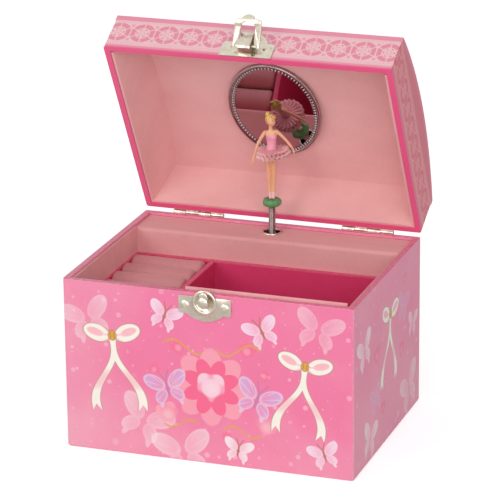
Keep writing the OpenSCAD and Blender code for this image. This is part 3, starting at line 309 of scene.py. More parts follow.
knot_line = w.near(knot_reach, 1, 0.08, 0.16)
give("Line", w.most(outline, tail_line, knot_line))

# scalloped round ornament of radius one
medallion, w, come, give = new_group("medallion", "Point: vector, Lobes, Swing", "Mask, Reach")
x, y, z = w.part(come["Point"])
reach = w.root(w.plus(w.times(x, x), w.times(y, y)))
wave = w.size_of(w.math("COSINE", w.times(w.math("ARCTAN2", y, x), w.times(come["Lobes"], 0.5))))
rim = w.minus(1.0, w.times(come["Swing"], w.minus(1.0, wave)))
share = w.over(reach, rim)
give("Mask", w.fade(share, 0.97, 1.03, 1, 0))
give("Reach", share)

# soft round specks of several sizes strewn over a sheet
specks, w, come, give = new_group("specks", "Point: vector, Spacing, Smallest, Largest", "Mask")
cells = w.add("ShaderNodeTexVoronoi", {"Vector": come["Point"], "Scale": w.over(1.0, come["Spacing"]),
    "Randomness": 0.9}, voronoi_dimensions="2D", feature="F1").outputs
tone = w.part(cells["Color"])
grow = w.times(w.times(tone[0], tone[0]), tone[1])
radius = w.over(w.plus(come["Smallest"], w.times(grow, w.minus(come["Largest"], come["Smallest"]))), come["Spacing"])
give("Mask", w.times(w.fade(w.over(cells["Distance"], radius), 0.55, 1.05, 1, 0),
    w.fade(tone[2], 0.15, 0.5, 0.25, 1)))

# surface of coated paper: slight unevenness and fibre under the lamination
paper_skin, w, come, give = new_group("paper_skin", "Point: vector", "Gloss, Height, Tint")
slow = w.noise(come["Point"], 0.09, 3)
fibre = w.noise(come["Point"], 2.6, 4, 0.6)
give("Gloss", w.plus(w.times(slow, 0.10), w.times(fibre, 0.06)))
give("Height", w.plus(w.times(slow, 0.6), w.times(fibre, 0.4)))
give("Tint", w.minus(w.plus(w.times(slow, 0.7), w.times(fibre, 0.3)), 0.5))

def paper_coat(w, point, colour, roughness, strength=0.12, mottled=False):
    """Finishes a paper; its colour varies a little with the fibres where it is mottled."""
    skin = w.use(paper_skin, Point=point)
    if mottled:
        value = w.plus(1.0, w.times(skin["Tint"], 0.08))
        colour = w.add("ShaderNodeHueSaturation", {"Color": colour, "Value": value}).outputs[0]
    w.coat(colour, w.plus(roughness, skin["Gloss"]), skin["Height"], strength)

def on_sheet(w, along, up):
    return w.add("ShaderNodeCombineXYZ", {"X": along, "Y": up}).outputs[0]

def placed(w, colour, sheet, middle, turn, size):
    """The sheet seen from one motif. A trace of the colour below makes the motifs print one after another."""
    after = w.vector("MULTIPLY_ADD", colour, (1e-7, 1e-7, 0), sheet)
    return w.use(motif_place, Point=after, Middle=(*middle, 0), Turn=(0, 0, math.radians(turn)),
        Size=(size, size, 1))[0]

white_ink, cream_ink = (0.86, 0.74, 0.76), (0.88, 0.83, 0.74)
lilac_ink, plum_ink = (0.66, 0.36, 0.62), (0.42, 0.20, 0.42)
coral_ink, salmon_ink = (0.86, 0.13, 0.26), (0.88, 0.34, 0.42)
gold_ink, brown_ink = (0.70, 0.36, 0.05), (0.34, 0.16, 0.07)

def strewn(motif, w, colour, sheet, places):
    for place in places:
        colour = motif(w, colour, sheet, *place)
    return colour

def print_butterfly(w, colour, sheet, middle, turn, size, wing, strength=1.0, body_colour=brown_ink):
    out = w.use(butterfly, Point=placed(w, colour, sheet, middle, turn, size))
    mask = w.times(out["Wings"], w.fade(out["Spread"], 0, 1, 0.55 * strength, strength))
    colour = w.blend(mask, colour, wing)
    colour = w.blend(w.times(w.times(out["Veins"], out["Wings"]), 0.4 * strength), colour, white_ink)
    return w.blend(w.times(out["Body"], 0.8 * strength ** 2), colour, body_colour)

def print_heart(w, colour, sheet, middle, turn, size, ink, strength=1.0):
    out = w.use(heart, Point=placed(w, colour, sheet, middle, turn, size))
    colour = w.blend(w.times(out["Mask"], strength), colour, ink)
    return w.blend(w.times(w.times(out["Depth"], out["Mask"]), 0.35 * strength), colour, white_ink)

def print_bow(w, colour, sheet, middle, turn, size):
    out = w.use(bow, Point=placed(w, colour, sheet, middle, turn, size))
    colour = w.blend(out["Ribbon"], colour, cream_ink)
    colour = w.blend(w.times(out["Fold"], 0.75), colour, salmon_ink)
    colour = w.blend(out["Knot"], colour, gold_ink)
    return w.blend(w.times(out["Line"], 0.55), colour, brown_ink)

def print_curl(w, colour, sheet, start, reach, swing):
    """A thin wavy ribbon line that runs level from start."""
    x, y, z = w.part(placed(w, colour, sheet, (0, 0), 0, 1))
    along = w.minus(x, start[0])
    line = w.plus(w.times(w.math("SINE", w.times(along, 6.2 / abs(reach))), swing), start[1])
    near = w.near(y, line, 0.45, 0.75)
    share = w.over(along, reach)
    ends = w.times(w.fade(share, 0.0, 0.08), w.fade(share, 0.92, 1.0, 1, 0))
    return w.blend(w.times(w.times(near, ends), 0.75), colour, gold_ink)

# the pink ground of the print, paler towards one side, with two sizes of specks
print_ground, w, come, give = new_group("print_ground", "Sheet: vector, Pale", "Colour: colour")
cloud = w.noise(come["Sheet"], 0.028, 3, 0.55)
haze = w.plus(come["Pale"], w.times(w.minus(cloud, 0.5), 0.9), clamp=True)
colour = w.blend(haze, (0.82, 0.185, 0.345), (0.83, 0.375, 0.475))
small = w.use(specks, Point=come["Sheet"], Spacing=7.5, Smallest=0.25, Largest=2.0)
colour = w.blend(w.times(small["Mask"], 0.55), colour, (0.90, 0.50, 0.62))
shifted = w.vector("ADD", come["Sheet"], (13.7, 5.1, 0))
large = w.use(specks, Point=shifted, Spacing=17.0, Smallest=0.4, Largest=3.2)
colour = w.blend(w.times(large["Mask"], 0.35), colour, white_ink)
give("Colour", colour)

# the large face of the wrap: bows at both sides, a scalloped ornament and butterflies between
front_print, w, come, give = new_group("front_print", "Sheet: vector", "Colour: colour")
sheet = come["Sheet"]
x, y, z = w.part(sheet)
corner = w.plus(w.fade(x, -20, -76, 0, 0.42), w.fade(y, 45, 0, 0, 0.40))
colour = w.use(print_ground, Sheet=sheet, Pale=corner)[0]
colour = strewn(print_butterfly, w, colour, sheet, (
    ((-63, 70), 20, 13, white_ink, 0.38, salmon_ink), ((-34, 19), -25, 14, white_ink, 0.42, salmon_ink),
    ((58, 77), -14, 12, white_ink, 0.35, salmon_ink), ((-13, 4), 12, 15, white_ink, 0.48, salmon_ink)))
colour = strewn(print_heart, w, colour, sheet, (
    ((-21, 24), 24, 5, salmon_ink, 0.8), ((31, 23), -20, 4.6, salmon_ink, 0.8),
    ((-15, 60), 12, 3.4, coral_ink, 0.7), ((21, 62), -16, 3.8, coral_ink, 0.7),
    ((30, 50), 10, 2.6, coral_ink, 0.6), ((-28, 47), -12, 2.6, coral_ink, 0.6), ((10, 15), -8, 2.4, coral_ink, 0.7)))
colour = strewn(print_curl, w, colour, sheet, (
    ((2, 61), -26, 3.2), ((4, 62), 25, -3.4), ((-4, 20), -20, -2.6), ((8, 19), 21, 2.6)))
big = w.use(medallion, Point=placed(w, colour, sheet, (2, 41), 0, 20.5), Lobes=8, Swing=0.26)
colour = w.blend(w.times(big["Mask"], 0.9), colour, salmon_ink)
mid = w.use(medallion, Point=placed(w, colour, sheet, (2, 41), 22.5, 15.5), Lobes=8, Swing=0.34)
colour = w.blend(mid["Mask"], colour, coral_ink)
colour = w.blend(w.times(w.fade(mid["Reach"], 0.75, 0.1), w.times(mid["Mask"], 0.5)), colour, (0.72, 0.16, 0.22))
colour = print_heart(w, colour, sheet, (2, 40.5), 0, 6.2, (0.88, 0.56, 0.66), 1.0)
colour = strewn(print_butterfly, w, colour, sheet, (
    ((-21, 38), 16, 11, lilac_ink, 0.95, plum_ink), ((26, 37), -20, 11.5, lilac_ink, 0.95, plum_ink),
    ((-22, 76), -18, 8.5, (0.86, 0.60, 0.74)), ((29, 73), 24, 9.0, (0.86, 0.58, 0.72)),
    ((16, 9), -10, 7.5, white_ink), ((61, 12), 18, 8.0, (0.86, 0.62, 0.74))))
colour = strewn(print_bow, w, colour, sheet, (((-50, 62), 5, 15), ((51, 57), -6, 14)))
give("Colour", colour)

# the narrow faces of the wrap: one bow, and a few hearts and butterflies
side_print, w, come, give = new_group("side_print", "Sheet: vector", "Colour: colour")
sheet = come["Sheet"]
x, y, z = w.part(sheet)
colour = w.use(print_ground, Sheet=sheet, Pale=w.fade(y, 60, 0, 0.45, 0.75))[0]
colour = strewn(print_butterfly, w, colour, sheet, (
    ((-40, 62), 12, 11, white_ink, 0.75, salmon_ink), ((-30, 12), -16, 11, white_ink, 0.75, salmon_ink),
    ((38, 14), 14, 14, white_ink, 0.45, salmon_ink), ((44, 48), -12, 8, white_ink, 0.6, salmon_ink),
    ((-20, 30), 10, 9, lilac_ink, 0.6, salmon_ink), ((27, 63), -18, 9, lilac_ink, 0.5, salmon_ink)))
colour = strewn(print_heart, w, colour, sheet, (
    ((-19, 52), 10, 4.2, coral_ink, 0.6), ((24, 40), -14, 4.0, coral_ink, 0.6),
    ((-8, 20), 6, 3.0, coral_ink, 0.6), ((30, 76), 0, 3.0, coral_ink, 0.6)))
colour = print_bow(w, colour, sheet, (4, 66), -4, 14)
give("Colour", colour)

rim_ink, turn_in_ink = (0.72, 0.12, 0.24), (0.62, 0.09, 0.19)
case_paper, w, point = new_finish("case_paper", 0.4, Specular_IOR_Level=0.5)
x, y, z = w.part(point)
faces = w.use(wrap_faces, Point=point, Rim=case_top, Rim_Side=1.0)
front = w.use(front_print, Sheet=on_sheet(w, x, z))[0]
side = w.use(side_print, Sheet=on_sheet(w, y, z))[0]
rear = w.use(print_ground, Sheet=on_sheet(w, x, z), Pale=0.35)[0]
colour = w.blend(w.math("GREATER_THAN", y, 0), front, rear)
colour = w.blend(faces["Side"], colour, side)
colour = w.blend(faces["Rim"], colour, rim_ink)
colour = w.blend(faces["Inside"], colour, turn_in_ink)
# The corner folds and the top edge below the rim are painted paler: partly rubbed paper, partly a painted highlight
# where these edges catch the light.
corner_x = w.fade(w.size_of(x), case_x - 0.9, case_x - 0.35)
corner_y = w.fade(w.size_of(y), case_y - 0.9, case_y - 0.35)
fold = w.times(corner_x, corner_y)
lip = w.fade(z, case_top - 0.7, case_top - 0.1)
rubbed_and_painted_highlight = w.times(w.most(fold, lip), w.fade(w.noise(point, 0.5, 4), 0.35, 0.7, 0.1, 0.5))
colour = w.blend(rubbed_and_painted_highlight, colour, (0.86, 0.42, 0.52))
paper_coat(w, point, colour, 0.30, mottled=True)
paint(case_paper, "front_wall", "back_wall", "left_wall", "right_wall")

# ---------------------------------------------------------------- base
# A greyboard panel glued between the walls, covered below with a sheet of plain pink paper.
grey_board, w, point = new_finish("grey_board", 0.9)
fibres = w.noise(point, 1.8, 5, 0.65)
w.coat(w.blend(fibres, (0.30, 0.27, 0.24), (0.42, 0.38, 0.33)), None, fibres, 0.3)
paint(grey_board, "base_panel")

base_paper, w, point = new_finish("base_paper", 0.6)
paper_coat(w, point, w.blend(w.noise(point, 0.06, 4), (0.80, 0.30, 0.40), (0.84, 0.40, 0.48)), 0.5, 0.2)
paint(base_paper, "base_sheet")

# ---------------------------------------------------------------- tray
# A drop-in tray of card wrapped in crimson embossed paper, with a divider, and the folded
# card shelf that carries the ring rolls. The well has a loose pad of the same paper.
tray_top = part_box("tray")[1].z / mm
crimson_paper, w, point = new_finish("crimson_paper", 0.45)
x, y, z = w.part(point)
skin = w.use(paper_skin, Point=point)
emboss = w.add("ShaderNodeTexVoronoi", {"Vector": point, "Scale": 1.6}, feature="SMOOTH_F1").outputs["Distance"]
colour = w.blend(w.noise(point, 0.12, 4), (0.66, 0.036, 0.135), (0.75, 0.055, 0.175))
edge = w.times(w.fade(z, tray_top - 1.1, tray_top - 0.2), w.fade(w.noise(point, 0.35, 4), 0.3, 0.75, 0.35, 0.75))
colour = w.blend(edge, colour, (0.80, 0.16, 0.27))
w.coat(colour, w.plus(0.36, skin["Gloss"]), w.plus(w.times(emboss, 0.5), skin["Height"]), 0.18)
paint(crimson_paper, "tray", "ring_bed", "well_pad")

# ---------------------------------------------------------------- velour linings
# Dusty pink flock on card: the catch lip along the front, the side cards, and the folded
# cover over the musical movement, with a soft rounded front fold.
nap, w, come, give = new_group("nap", "Point: vector, Pile", "Shade, Height, Rough")
brushed = w.noise(w.add("ShaderNodeMapping", {"Vector": come["Point"], "Scale": (0.030, 0.075, 0.05)}).outputs[0],
    1.0, 3, 0.55)
pile = w.noise(come["Point"], come["Pile"], 3, 0.7)
flecks = w.noise(come["Point"], w.times(come["Pile"], 0.22), 2, 0.5)
give("Shade", w.plus(w.times(brushed, 0.55), w.plus(w.times(pile, 0.25), w.times(flecks, 0.2))))
give("Height", w.plus(pile, w.times(flecks, 0.5)))
give("Rough", w.plus(0.82, w.times(flecks, 0.15)))

def velour_finish(name, dark, light):
    finish, w, point = new_finish(name, 0.9, Specular_IOR_Level=0.25, Sheen_Weight=0.35, Sheen_Roughness=0.45,
        Sheen_Tint=(0.95, 0.72, 0.72, 1))
    pile = w.use(nap, Point=point, Pile=3.2)
    w.coat(w.blend(w.fade(pile["Shade"], 0.32, 0.68), dark, light), pile["Rough"], pile["Height"], 0.35, 0.00025)
    return finish

case_velour = velour_finish("case_velour", (0.75, 0.35, 0.355), (0.81, 0.41, 0.415))
paint(case_velour, "front_lining", "left_lining", "right_lining", "movement_cover")

# ---------------------------------------------------------------- ring rolls
# Foam rolls wrapped in the same velour and pressed side by side into the shelf, so that
# rings are held in the grooves between them; their round ends show dark gaps.
roll_low, roll_high = (np.array(corner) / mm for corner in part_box("ring_rolls"))
roll_count = 6
roll_pitch = (roll_high[1] - roll_low[1] + 0.2) / roll_count
roll_radius = roll_pitch / 2 - 0.15

def new_mesh(name, points, faces):
    """A mesh object from points in millimetres."""
    mesh = bpy.data.meshes.new(name)
    mesh.from_pydata([tuple(c * mm for c in p) for p in points], [], faces)
    mesh.validate()
    mesh.polygons.foreach_set("use_smooth", [True] * len(mesh.polygons))
    return put(name, mesh)

def woven(rings, around, first=0, looped=False):
    """Quads between rings of points. The last ring meets the first, or both ends get a cap."""
    faces = []
    for i in range(rings if looped else rings - 1):
        here, there = first + i * around, first + (i + 1) % rings * around
        for k in range(around):
            after = (k + 1) % around
            faces.append((here + k, here + after, there + after, there + k))
    if not looped:
        faces.append(tuple(first + k for k in reversed(range(around))))
        faces.append(tuple(first + (rings - 1) * around + k for k in range(around)))
    return faces

def turned_outward(piece):
    shape = bmesh.new()
    shape.from_mesh(piece.data)
    bmesh.ops.remove_doubles(shape, verts=shape.verts, dist=1e-7)
    bmesh.ops.recalc_face_normals(shape, faces=shape.faces)
    shape.to_mesh(piece.data)
    shape.free()

points, faces = [], []
around = 40
random = np.random.default_rng(4)
for roll in range(roll_count):
    middle_y = roll_low[1] - 0.1 + (roll + 0.5) * roll_pitch
    middle_z = (roll_low[2] + roll_high[2]) / 2
    lumps = random.uniform(-1, 1, 4)
    first = len(points)
    ends = (0.0, 0.25, 0.8, 1.8)
    length = roll_high[0] - roll_low[0]
    stations = [*ends, *np.linspace(3, length - 3, 16), *(length - e for e in reversed(ends))]
    for along in stations:
        from_end = min(along, length - along)
        round_over = 1 - 0.22 * max(0.0, 1 - from_end / 1.8) ** 2.2
        soft = 0.10 * math.sin(along / 6.5 + lumps[0] * 3) + 0.06 * math.sin(along / 3.1 + lumps[1] * 3)
        for k in range(around):
            angle = 2 * math.pi * k / around
            top = max(0.0, math.sin(angle))
            r = roll_radius * round_over + soft * (0.35 + 0.65 * top)
            squeeze = 1.0 - 0.015 * abs(math.cos(angle)) ** 3
            points.append((roll_low[0] + along, middle_y + r * squeeze * math.cos(angle),
                middle_z + r * math.sin(angle)))
    faces += woven(len(stations), around, first)
rolls = new_mesh("ring_roll_pads", points, faces)
turned_outward(rolls)
# The rolls' velour is given a darker colour than the same velour on the case linings: painted shade.
rolls.data.materials.append(velour_finish("roll_velour", (0.62, 0.255, 0.265), (0.69, 0.31, 0.32)))
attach(rolls, "box")
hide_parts("ring_rolls")

# ---------------------------------------------------------------- metals
# Pale nickel plate on stamped steel for the clasp, hinges, grommet and key; brass and
# steel for the movement.
handled, w, come, give = new_group("handled_metal", "Point: vector, Grain", "Tone, Gloss, Height")
cloudy = w.noise(come["Point"], 0.35, 4, 0.6)
fine = w.noise(w.add("ShaderNodeMapping", {"Vector": come["Point"], "Scale": (1.0, 1.0, 6.0)}).outputs[0],
    come["Grain"], 3, 0.6)
give("Tone", w.plus(w.times(cloudy, 0.7), w.times(fine, 0.3)))
give("Gloss", w.plus(w.times(cloudy, 0.10), w.times(fine, 0.06)))
give("Height", fine)

def metal_finish(name, dark, light, roughness, grain=2.0, metallic=1.0):
    finish, w, point = new_finish(name, roughness, metallic)
    use = w.use(handled, Point=point, Grain=grain)
    tone = w.blend(w.fade(use["Tone"], 0.3, 0.7), dark, light)
    w.coat(tone, w.plus(roughness - 0.06, use["Gloss"]), use["Height"], 0.4, 0.00002)
    return finish

nickel = metal_finish("nickel_plate", (0.64, 0.57, 0.46), (0.78, 0.71, 0.60), 0.24)
brass = metal_finish("brass", (0.62, 0.42, 0.14), (0.78, 0.56, 0.22), 0.24)
steel = metal_finish("steel", (0.40, 0.40, 0.41), (0.56, 0.56, 0.57), 0.28)
spring_steel = metal_finish("blued_steel", (0.10, 0.10, 0.12), (0.18, 0.18, 0.21), 0.3)

def rounded_copy(node, width, body, segments=2):
    """A nickel-plated CAD solid again, its outer edges eased as stamping and plating leave them."""
    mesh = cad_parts[node].data.copy()
    piece = put(node + "_finished", mesh)
    shape = bmesh.new()
    shape.from_mesh(mesh)
    bmesh.ops.remove_doubles(shape, verts=shape.verts, dist=2e-6)
    bmesh.ops.dissolve_limit(shape, angle_limit=math.radians(1.5), verts=shape.verts, edges=shape.edges)
    bmesh.ops.recalc_face_normals(shape, faces=shape.faces)
    sharp = math.radians(35)
    edges = [e for e in shape.edges if len(e.link_faces) == 2 and e.is_convex and e.calc_face_angle(0) > sharp]
    bmesh.ops.bevel(shape, geom=edges, offset=width * mm, offset_type="OFFSET", segments=segments, profile=0.5,
        affect="EDGES", clamp_overlap=True)
    shape.to_mesh(mesh)
    shape.free()
    mesh.polygons.foreach_set("use_smooth", [True] * len(mesh.polygons))
    mesh.set_sharp_from_angle(angle=math.radians(50))
    mesh.materials.clear()
    mesh.materials.append(nickel)
    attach(piece, body)
    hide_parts(node)
    return piece

# ---------------------------------------------------------------- grommet
# A nickel-plated eyelet pressed into the cover, through which the dancer's spring comes.
paint(nickel, "grommet")

# ---------------------------------------------------------------- musical movement
# The wind-up movement behind the cover: gold-lacquered cast bedplate, brass cylinder, wheels
# and spring housing, steel comb and mainspring, and the worm governor with its nylon fly.
lacquer = metal_finish("gold_lacquer", (0.50, 0.42, 0.22), (0.64, 0.55, 0.32), 0.38, grain=1.4)
paint(lacquer, "bedplate")
paint(steel, "comb", "spindle", "winding_arbor")
paint(brass, "spring_housing", "spindle_tube", "governor_bridge", "great_wheel", "cylinder_drum", "cylinder_arbor",
    "idler")
paint(nickel, "comb_screws", "arbor_bushing", "bedplate_screws")
paint(spring_steel, "mainspring")
nylon, w, point = new_finish("nylon", 0.4, Subsurface_Weight=0.1)
w.coat(w.blend(w.noise(point, 0.8, 3), (0.72, 0.70, 0.62), (0.80, 0.78, 0.70)))
paint(nylon, "governor_worm", "governor_fly")

# ---------------------------------------------------------------- winding key
# A nickel-plated butterfly key screwed on the arbor behind the case.
rounded_copy("winding_key", 0.25, "key")

# ---------------------------------------------------------------- hinges
# Two short strap hinges with rolled knuckles, each leaf held by two small domed nails.
paint(steel, "hinge_pins")
rounded_copy("hinge_leaves_box", 0.12, "box")
rounded_copy("hinge_leaves_lid", 0.12, "lid")
paint(nickel, "box_nails", "lid_nails")

# ---------------------------------------------------------------- lid walls and barrel top
# Four greyboard walls and a bent top, wrapped like the case. A printed lace band runs
# round the walls between two plain strips; the rim and the turned-in paper are deep pink.
lid_angle, hinge_at = math.radians(61.3), Vector((0, 59.8, 90.2))
lid_rim, band_low, band_high = 90.4, 92.7, 111.6

def closed_lid(w, point):
    """Object coordinates in millimetres, as they are when the lid is closed."""
    return w.add("ShaderNodeVectorRotate", {"Vector": point, "Center": hinge_at, "Angle": lid_angle},
        rotation_type="X_AXIS").outputs[0]

lace, w, come, give = new_group("lace_band", "Along, Across", "Holes, Threads")
pitch, half_pitch, thread_width = 13.0, 6.5, 0.55
along, up = w.minus(w.math("FLOORED_MODULO", come["Along"], pitch), half_pitch), come["Across"]
near, high = w.size_of(along), w.size_of(up)
own = w.root(w.plus(w.times(along, along), w.times(up, up)))
bearing = w.math("ARCTAN2", up, along)
def line(value, middle, half):
    return w.near(value, middle, half * 0.5, half * 1.4)
into_fan = w.times(own, w.minus(math.pi / 6, w.math("PINGPONG", bearing, math.pi / 6)))
fans = w.product(w.fade(into_fan, thread_width / 2 - 0.1, thread_width / 2 + 0.2), w.fade(own, 3.7, 4.1),
    w.fade(own, 6.3, 6.7, 1, 0), w.fade(near, half_pitch - 0.5, half_pitch - 0.2, 1, 0))
petals = w.product(line(own, 2.85, 0.42), w.fade(w.math("COSINE", w.times(bearing, 6)), -0.1, 0.5))
eye = w.product(line(own, 1.25, 0.3), w.fade(w.math("COSINE", w.times(bearing, 5)), 0.1, 0.6))
off_x, off_y = w.minus(half_pitch, near), w.size_of(w.minus(high, 5.1))
cross = w.product(line(off_x, off_y, 0.35), w.fade(w.plus(off_x, off_y), 1.3, 1.8, 1, 0))
give("Holes", w.most(fans, petals, eye, cross))
def dots(row, step, shift):
    return w.product(line(high, row, 0.32),
        w.fade(w.math("COSINE", w.times(w.plus(come["Along"], shift), 2 * math.pi / step)), 0.0, 0.6))
mesh_x, mesh_y = (w.math("COSINE", w.times(value, 2 * math.pi / 0.85)) for value in (come["Along"], up))
net = w.times(w.fade(w.times(mesh_x, mesh_y), 0.1, 0.8), 0.35)
give("Threads", w.most(dots(8.75, 1.3, 0.0), dots(7.6, 1.3, 0.65), net))

lid_paper, w, point = new_finish("lid_paper", 0.42)
point = closed_lid(w, point)
x, y, z = w.part(point)
faces = w.use(wrap_faces, Point=point, Rim=lid_rim, Rim_Side=-1.0)
along = w.add("ShaderNodeMix", {0: faces["Side"], 2: x, 3: y}).outputs[0]
across = w.minus(z, (band_low + band_high) / 2)
band = w.times(w.fade(z, band_low, band_low + 0.3), w.fade(z, band_high - 0.3, band_high, 1, 0))
net = w.use(lace, Along=along, Across=across)
plain = w.blend(w.noise(point, 0.05, 3), (0.80, 0.26, 0.36), (0.84, 0.33, 0.42))
ground = w.blend(w.noise(point, 0.4, 3), (0.87, 0.52, 0.56), (0.89, 0.58, 0.61))
pattern = w.blend(w.times(net["Holes"], 0.95), ground, (0.80, 0.25, 0.34))
pattern = w.blend(w.times(net["Threads"], 0.6), pattern, (0.76, 0.30, 0.38))
colour = w.blend(band, plain, pattern)
# The lid's left and right walls get a darkened copy of the plain strip and the lace: painted shade on the narrow
# sides.
side_pattern_painted_shade = w.add("ShaderNodeMix", {0: 1.0, 6: pattern, 7: (0.88, 0.5, 0.53, 1)}, data_type="RGBA",
    blend_type="MULTIPLY").outputs[2]
side_painted_shade = w.blend(band, (0.68, 0.15, 0.20), side_pattern_painted_shade)
colour = w.blend(faces["Side"], colour, side_painted_shade)
colour = w.blend(w.fade(z, 91.2, 91.8, 1, 0), colour, (0.80, 0.13, 0.27))
colour = w.blend(faces["Rim"], colour, (0.80, 0.10, 0.24))
colour = w.blend(faces["Inside"], colour, turn_in_ink)
paper_coat(w, point, colour, 0.32, mottled=True)
paint(lid_paper, "lid_front_wall", "lid_back_wall", "lid_left_wall", "lid_right_wall")

top_paper, w, point = new_finish("top_paper", 0.42)
point = closed_lid(w, point)
x, y, z = w.part(point)
colour = w.use(print_ground, Sheet=on_sheet(w, x, y), Pale=0.25)[0]
ends = w.fade(w.size_of(x), case_x - 0.15, case_x - 0.05)
colour = w.blend(ends, colour, (0.74, 0.19, 0.27))
eaves = w.fade(w.size_of(y), case_y - 0.8, case_y - 0.3)
colour = w.blend(eaves, colour, (0.82, 0.28, 0.38))
paper_coat(w, point, colour, 0.32)
paint(top_paper, "lid_dome")

# ---------------------------------------------------------------- lid linings
# Velour-covered cards that lean in from the walls and carry a slightly bowed ceiling card.
# The lid's velour is given a lighter colour than the same velour in the case: painted light on the ceiling and lid
# linings.
lid_velour = velour_finish("lid_velour", (0.78, 0.40, 0.395), (0.84, 0.465, 0.455))
paint(lid_velour, "lid_lining_front", "lid_lining_back", "lid_lining_left", "lid_lining_right", "lid_ceiling")

# ---------------------------------------------------------------- mirror
# An oval of silvered acrylic in a metallised plastic frame: a smooth outer bead, a double
# row of small pearls and a fine inner line. It is glued to the ceiling card.
mirror_half, mirror_long, mirror_turn = 24.9, 32.1, math.radians(3.4)
pearl_height = 112.85

def opened(*pieces):
    """Turns finished lid pieces from the closed to the open position."""
    there = Matrix.Translation(hinge_at * mm)
    swing = there @ Matrix.Rotation(-lid_angle, 4, "X") @ there.inverted()
    for piece in pieces:
        piece.data.transform(swing)

on_ceiling = Matrix.Translation(Vector((-1, 0, 0)) * mm) @ Matrix.Rotation(mirror_turn, 4, "Z")
silvering, w, point = new_finish("silvering", 0.03, 1.0)
haze = w.noise(point, 0.12, 4)
w.coat(w.blend(haze, (0.50, 0.41, 0.44), (0.53, 0.44, 0.47)), w.fade(haze, 0.3, 0.7, 0.015, 0.04))
paint(silvering, "mirror_glass")

# The frame's metal is tinted mauve-pink: a painted reflection of the pink velour round it.
frame_with_painted_reflection = metal_finish("metallised_frame", (0.42, 0.34, 0.35), (0.56, 0.47, 0.48), 0.16, grain=1.2)
# The groove that the pearls sit in is coloured near-black: painted shade between the pearls.
channel_painted_shade = metal_finish("frame_channel", (0.03, 0.02, 0.022), (0.06, 0.04, 0.044), 0.5, grain=1.2, metallic=0.3)
pearl_plate = metal_finish("pearl_plate", (0.84, 0.80, 0.79), (0.92, 0.90, 0.89), 0.22, grain=1.2, metallic=0.6)
profile = [(0.0, 113.9), (0.0, 113.0), (-0.15, 112.6), (-0.45, 112.32), (-0.9, 112.2), (-1.35, 112.3),
    (-1.72, 112.58), (-1.9, 112.9), (-2.0, 113.1), (-3.2, 113.1), (-3.3, 112.95), (-3.7, 112.95),
    (-3.75, 113.1), (-3.75, 113.3), (-2.6, 113.35), (-2.6, 113.9)]
painted_shade_spans = (7, 8, 9, 10, 11)
points, around = [], 160
for k in range(around):
    angle = 2 * math.pi * k / around
    out = Vector((math.cos(angle) / mirror_half, math.sin(angle) / mirror_long, 0)).normalized()
    on_edge = Vector((mirror_half * math.cos(angle), mirror_long * math.sin(angle), 0))
    points += [on_edge + out * inward + Vector((0, 0, height)) for inward, height in profile]
mirror_ring = new_mesh("mirror_ring", points, woven(around, len(profile), looped=True))
turned_outward(mirror_ring)
mirror_ring.data.materials.append(frame_with_painted_reflection)
mirror_ring.data.materials.append(channel_painted_shade)
# The groove faces take the near-black painted shade.
for face in mirror_ring.data.polygons:
    face.material_index = 1 if face.index % len(profile) in painted_shade_spans else 0
mirror_ring.data.transform(on_ceiling)
opened(mirror_ring)
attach(mirror_ring, "lid")
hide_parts("mirror_frame")

def shape_tree(name, inputs):
    """An empty Geometry Nodes tree with named number inputs, its wiring and both ends."""
    tree = bpy.data.node_groups.new(name, "GeometryNodeTree")
    tree.interface.new_socket(name="Geometry", in_out="OUTPUT", socket_type="NodeSocketGeometry")
    for socket, kind in inputs.items():
        tree.interface.new_socket(name=socket, in_out="INPUT",
            socket_type={"size": "NodeSocketFloat", "count": "NodeSocketInt"}[kind])
    return tree, Wiring(tree), tree.nodes.new("NodeGroupInput").outputs, tree.nodes.new("NodeGroupOutput").inputs

def grown(name, tree, **sizes):
    """The plain mesh that a Geometry Nodes tree makes with these sizes."""
    seed = put(name + "_seed", bpy.data.meshes.new(name + "_seed"))
    grow = seed.modifiers.new("grow", "NODES")
    grow.node_group = tree
    for item in tree.interface.items_tree:
        if item.in_out == "INPUT":
            grow[item.identifier] = sizes[item.name.replace(" ", "_")]
    bpy.context.view_layer.update()
    result = bpy.data.meshes.new_from_object(seed.evaluated_get(bpy.context.evaluated_depsgraph_get()))
    bpy.data.objects.remove(seed)
    return put(name, result)

pearl_row, w, come, end = shape_tree("pearl_row",
    {"Half Width": "size", "Half Length": "size", "Pearl": "size", "Height": "size", "Count": "count"})
ring = w.add("GeometryNodeCurvePrimitiveCircle", {"Resolution": 180, "Radius": 1.0})
stretch = w.add("ShaderNodeCombineXYZ", {"X": come["Half Width"], "Y": come["Half Length"], "Z": 1.0})
lift = w.add("ShaderNodeCombineXYZ", {"Z": come["Height"]})
oval = w.add("GeometryNodeTransform", {"Geometry": ring.outputs[0], "Scale": stretch.outputs[0],
    "Translation": lift.outputs[0]})
spaced = w.add("GeometryNodeResampleCurve", {"Curve": oval.outputs[0], "Count": come["Count"]}, mode="COUNT")
ball = w.add("GeometryNodeMeshIcoSphere", {"Radius": come["Pearl"], "Subdivisions": 2})
smooth = w.add("GeometryNodeSetShadeSmooth", {"Geometry": ball.outputs[0]})
strung = w.add("GeometryNodeInstanceOnPoints", {"Points": spaced.outputs[0], "Instance": smooth.outputs[0]})
real = w.add("GeometryNodeRealizeInstances", {"Geometry": strung.outputs[0]})
w.feed(end[0], w.add("GeometryNodeSetMaterial", {"Geometry": real.outputs[0], "Material": pearl_plate}).outputs[0])
for name, inset, pearl, count in (("outer_pearls", 2.55, 0.42, 88), ("inner_pearls", 3.42, 0.24, 88)):
    pearls = grown(name, pearl_row, Half_Width=(mirror_half - inset) * mm, Half_Length=(mirror_long - inset) * mm,
        Pearl=pearl * mm, Height=pearl_height * mm, Count=count)
    pearls.data.transform(on_ceiling)
    opened(pearls)
    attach(pearls, "lid")

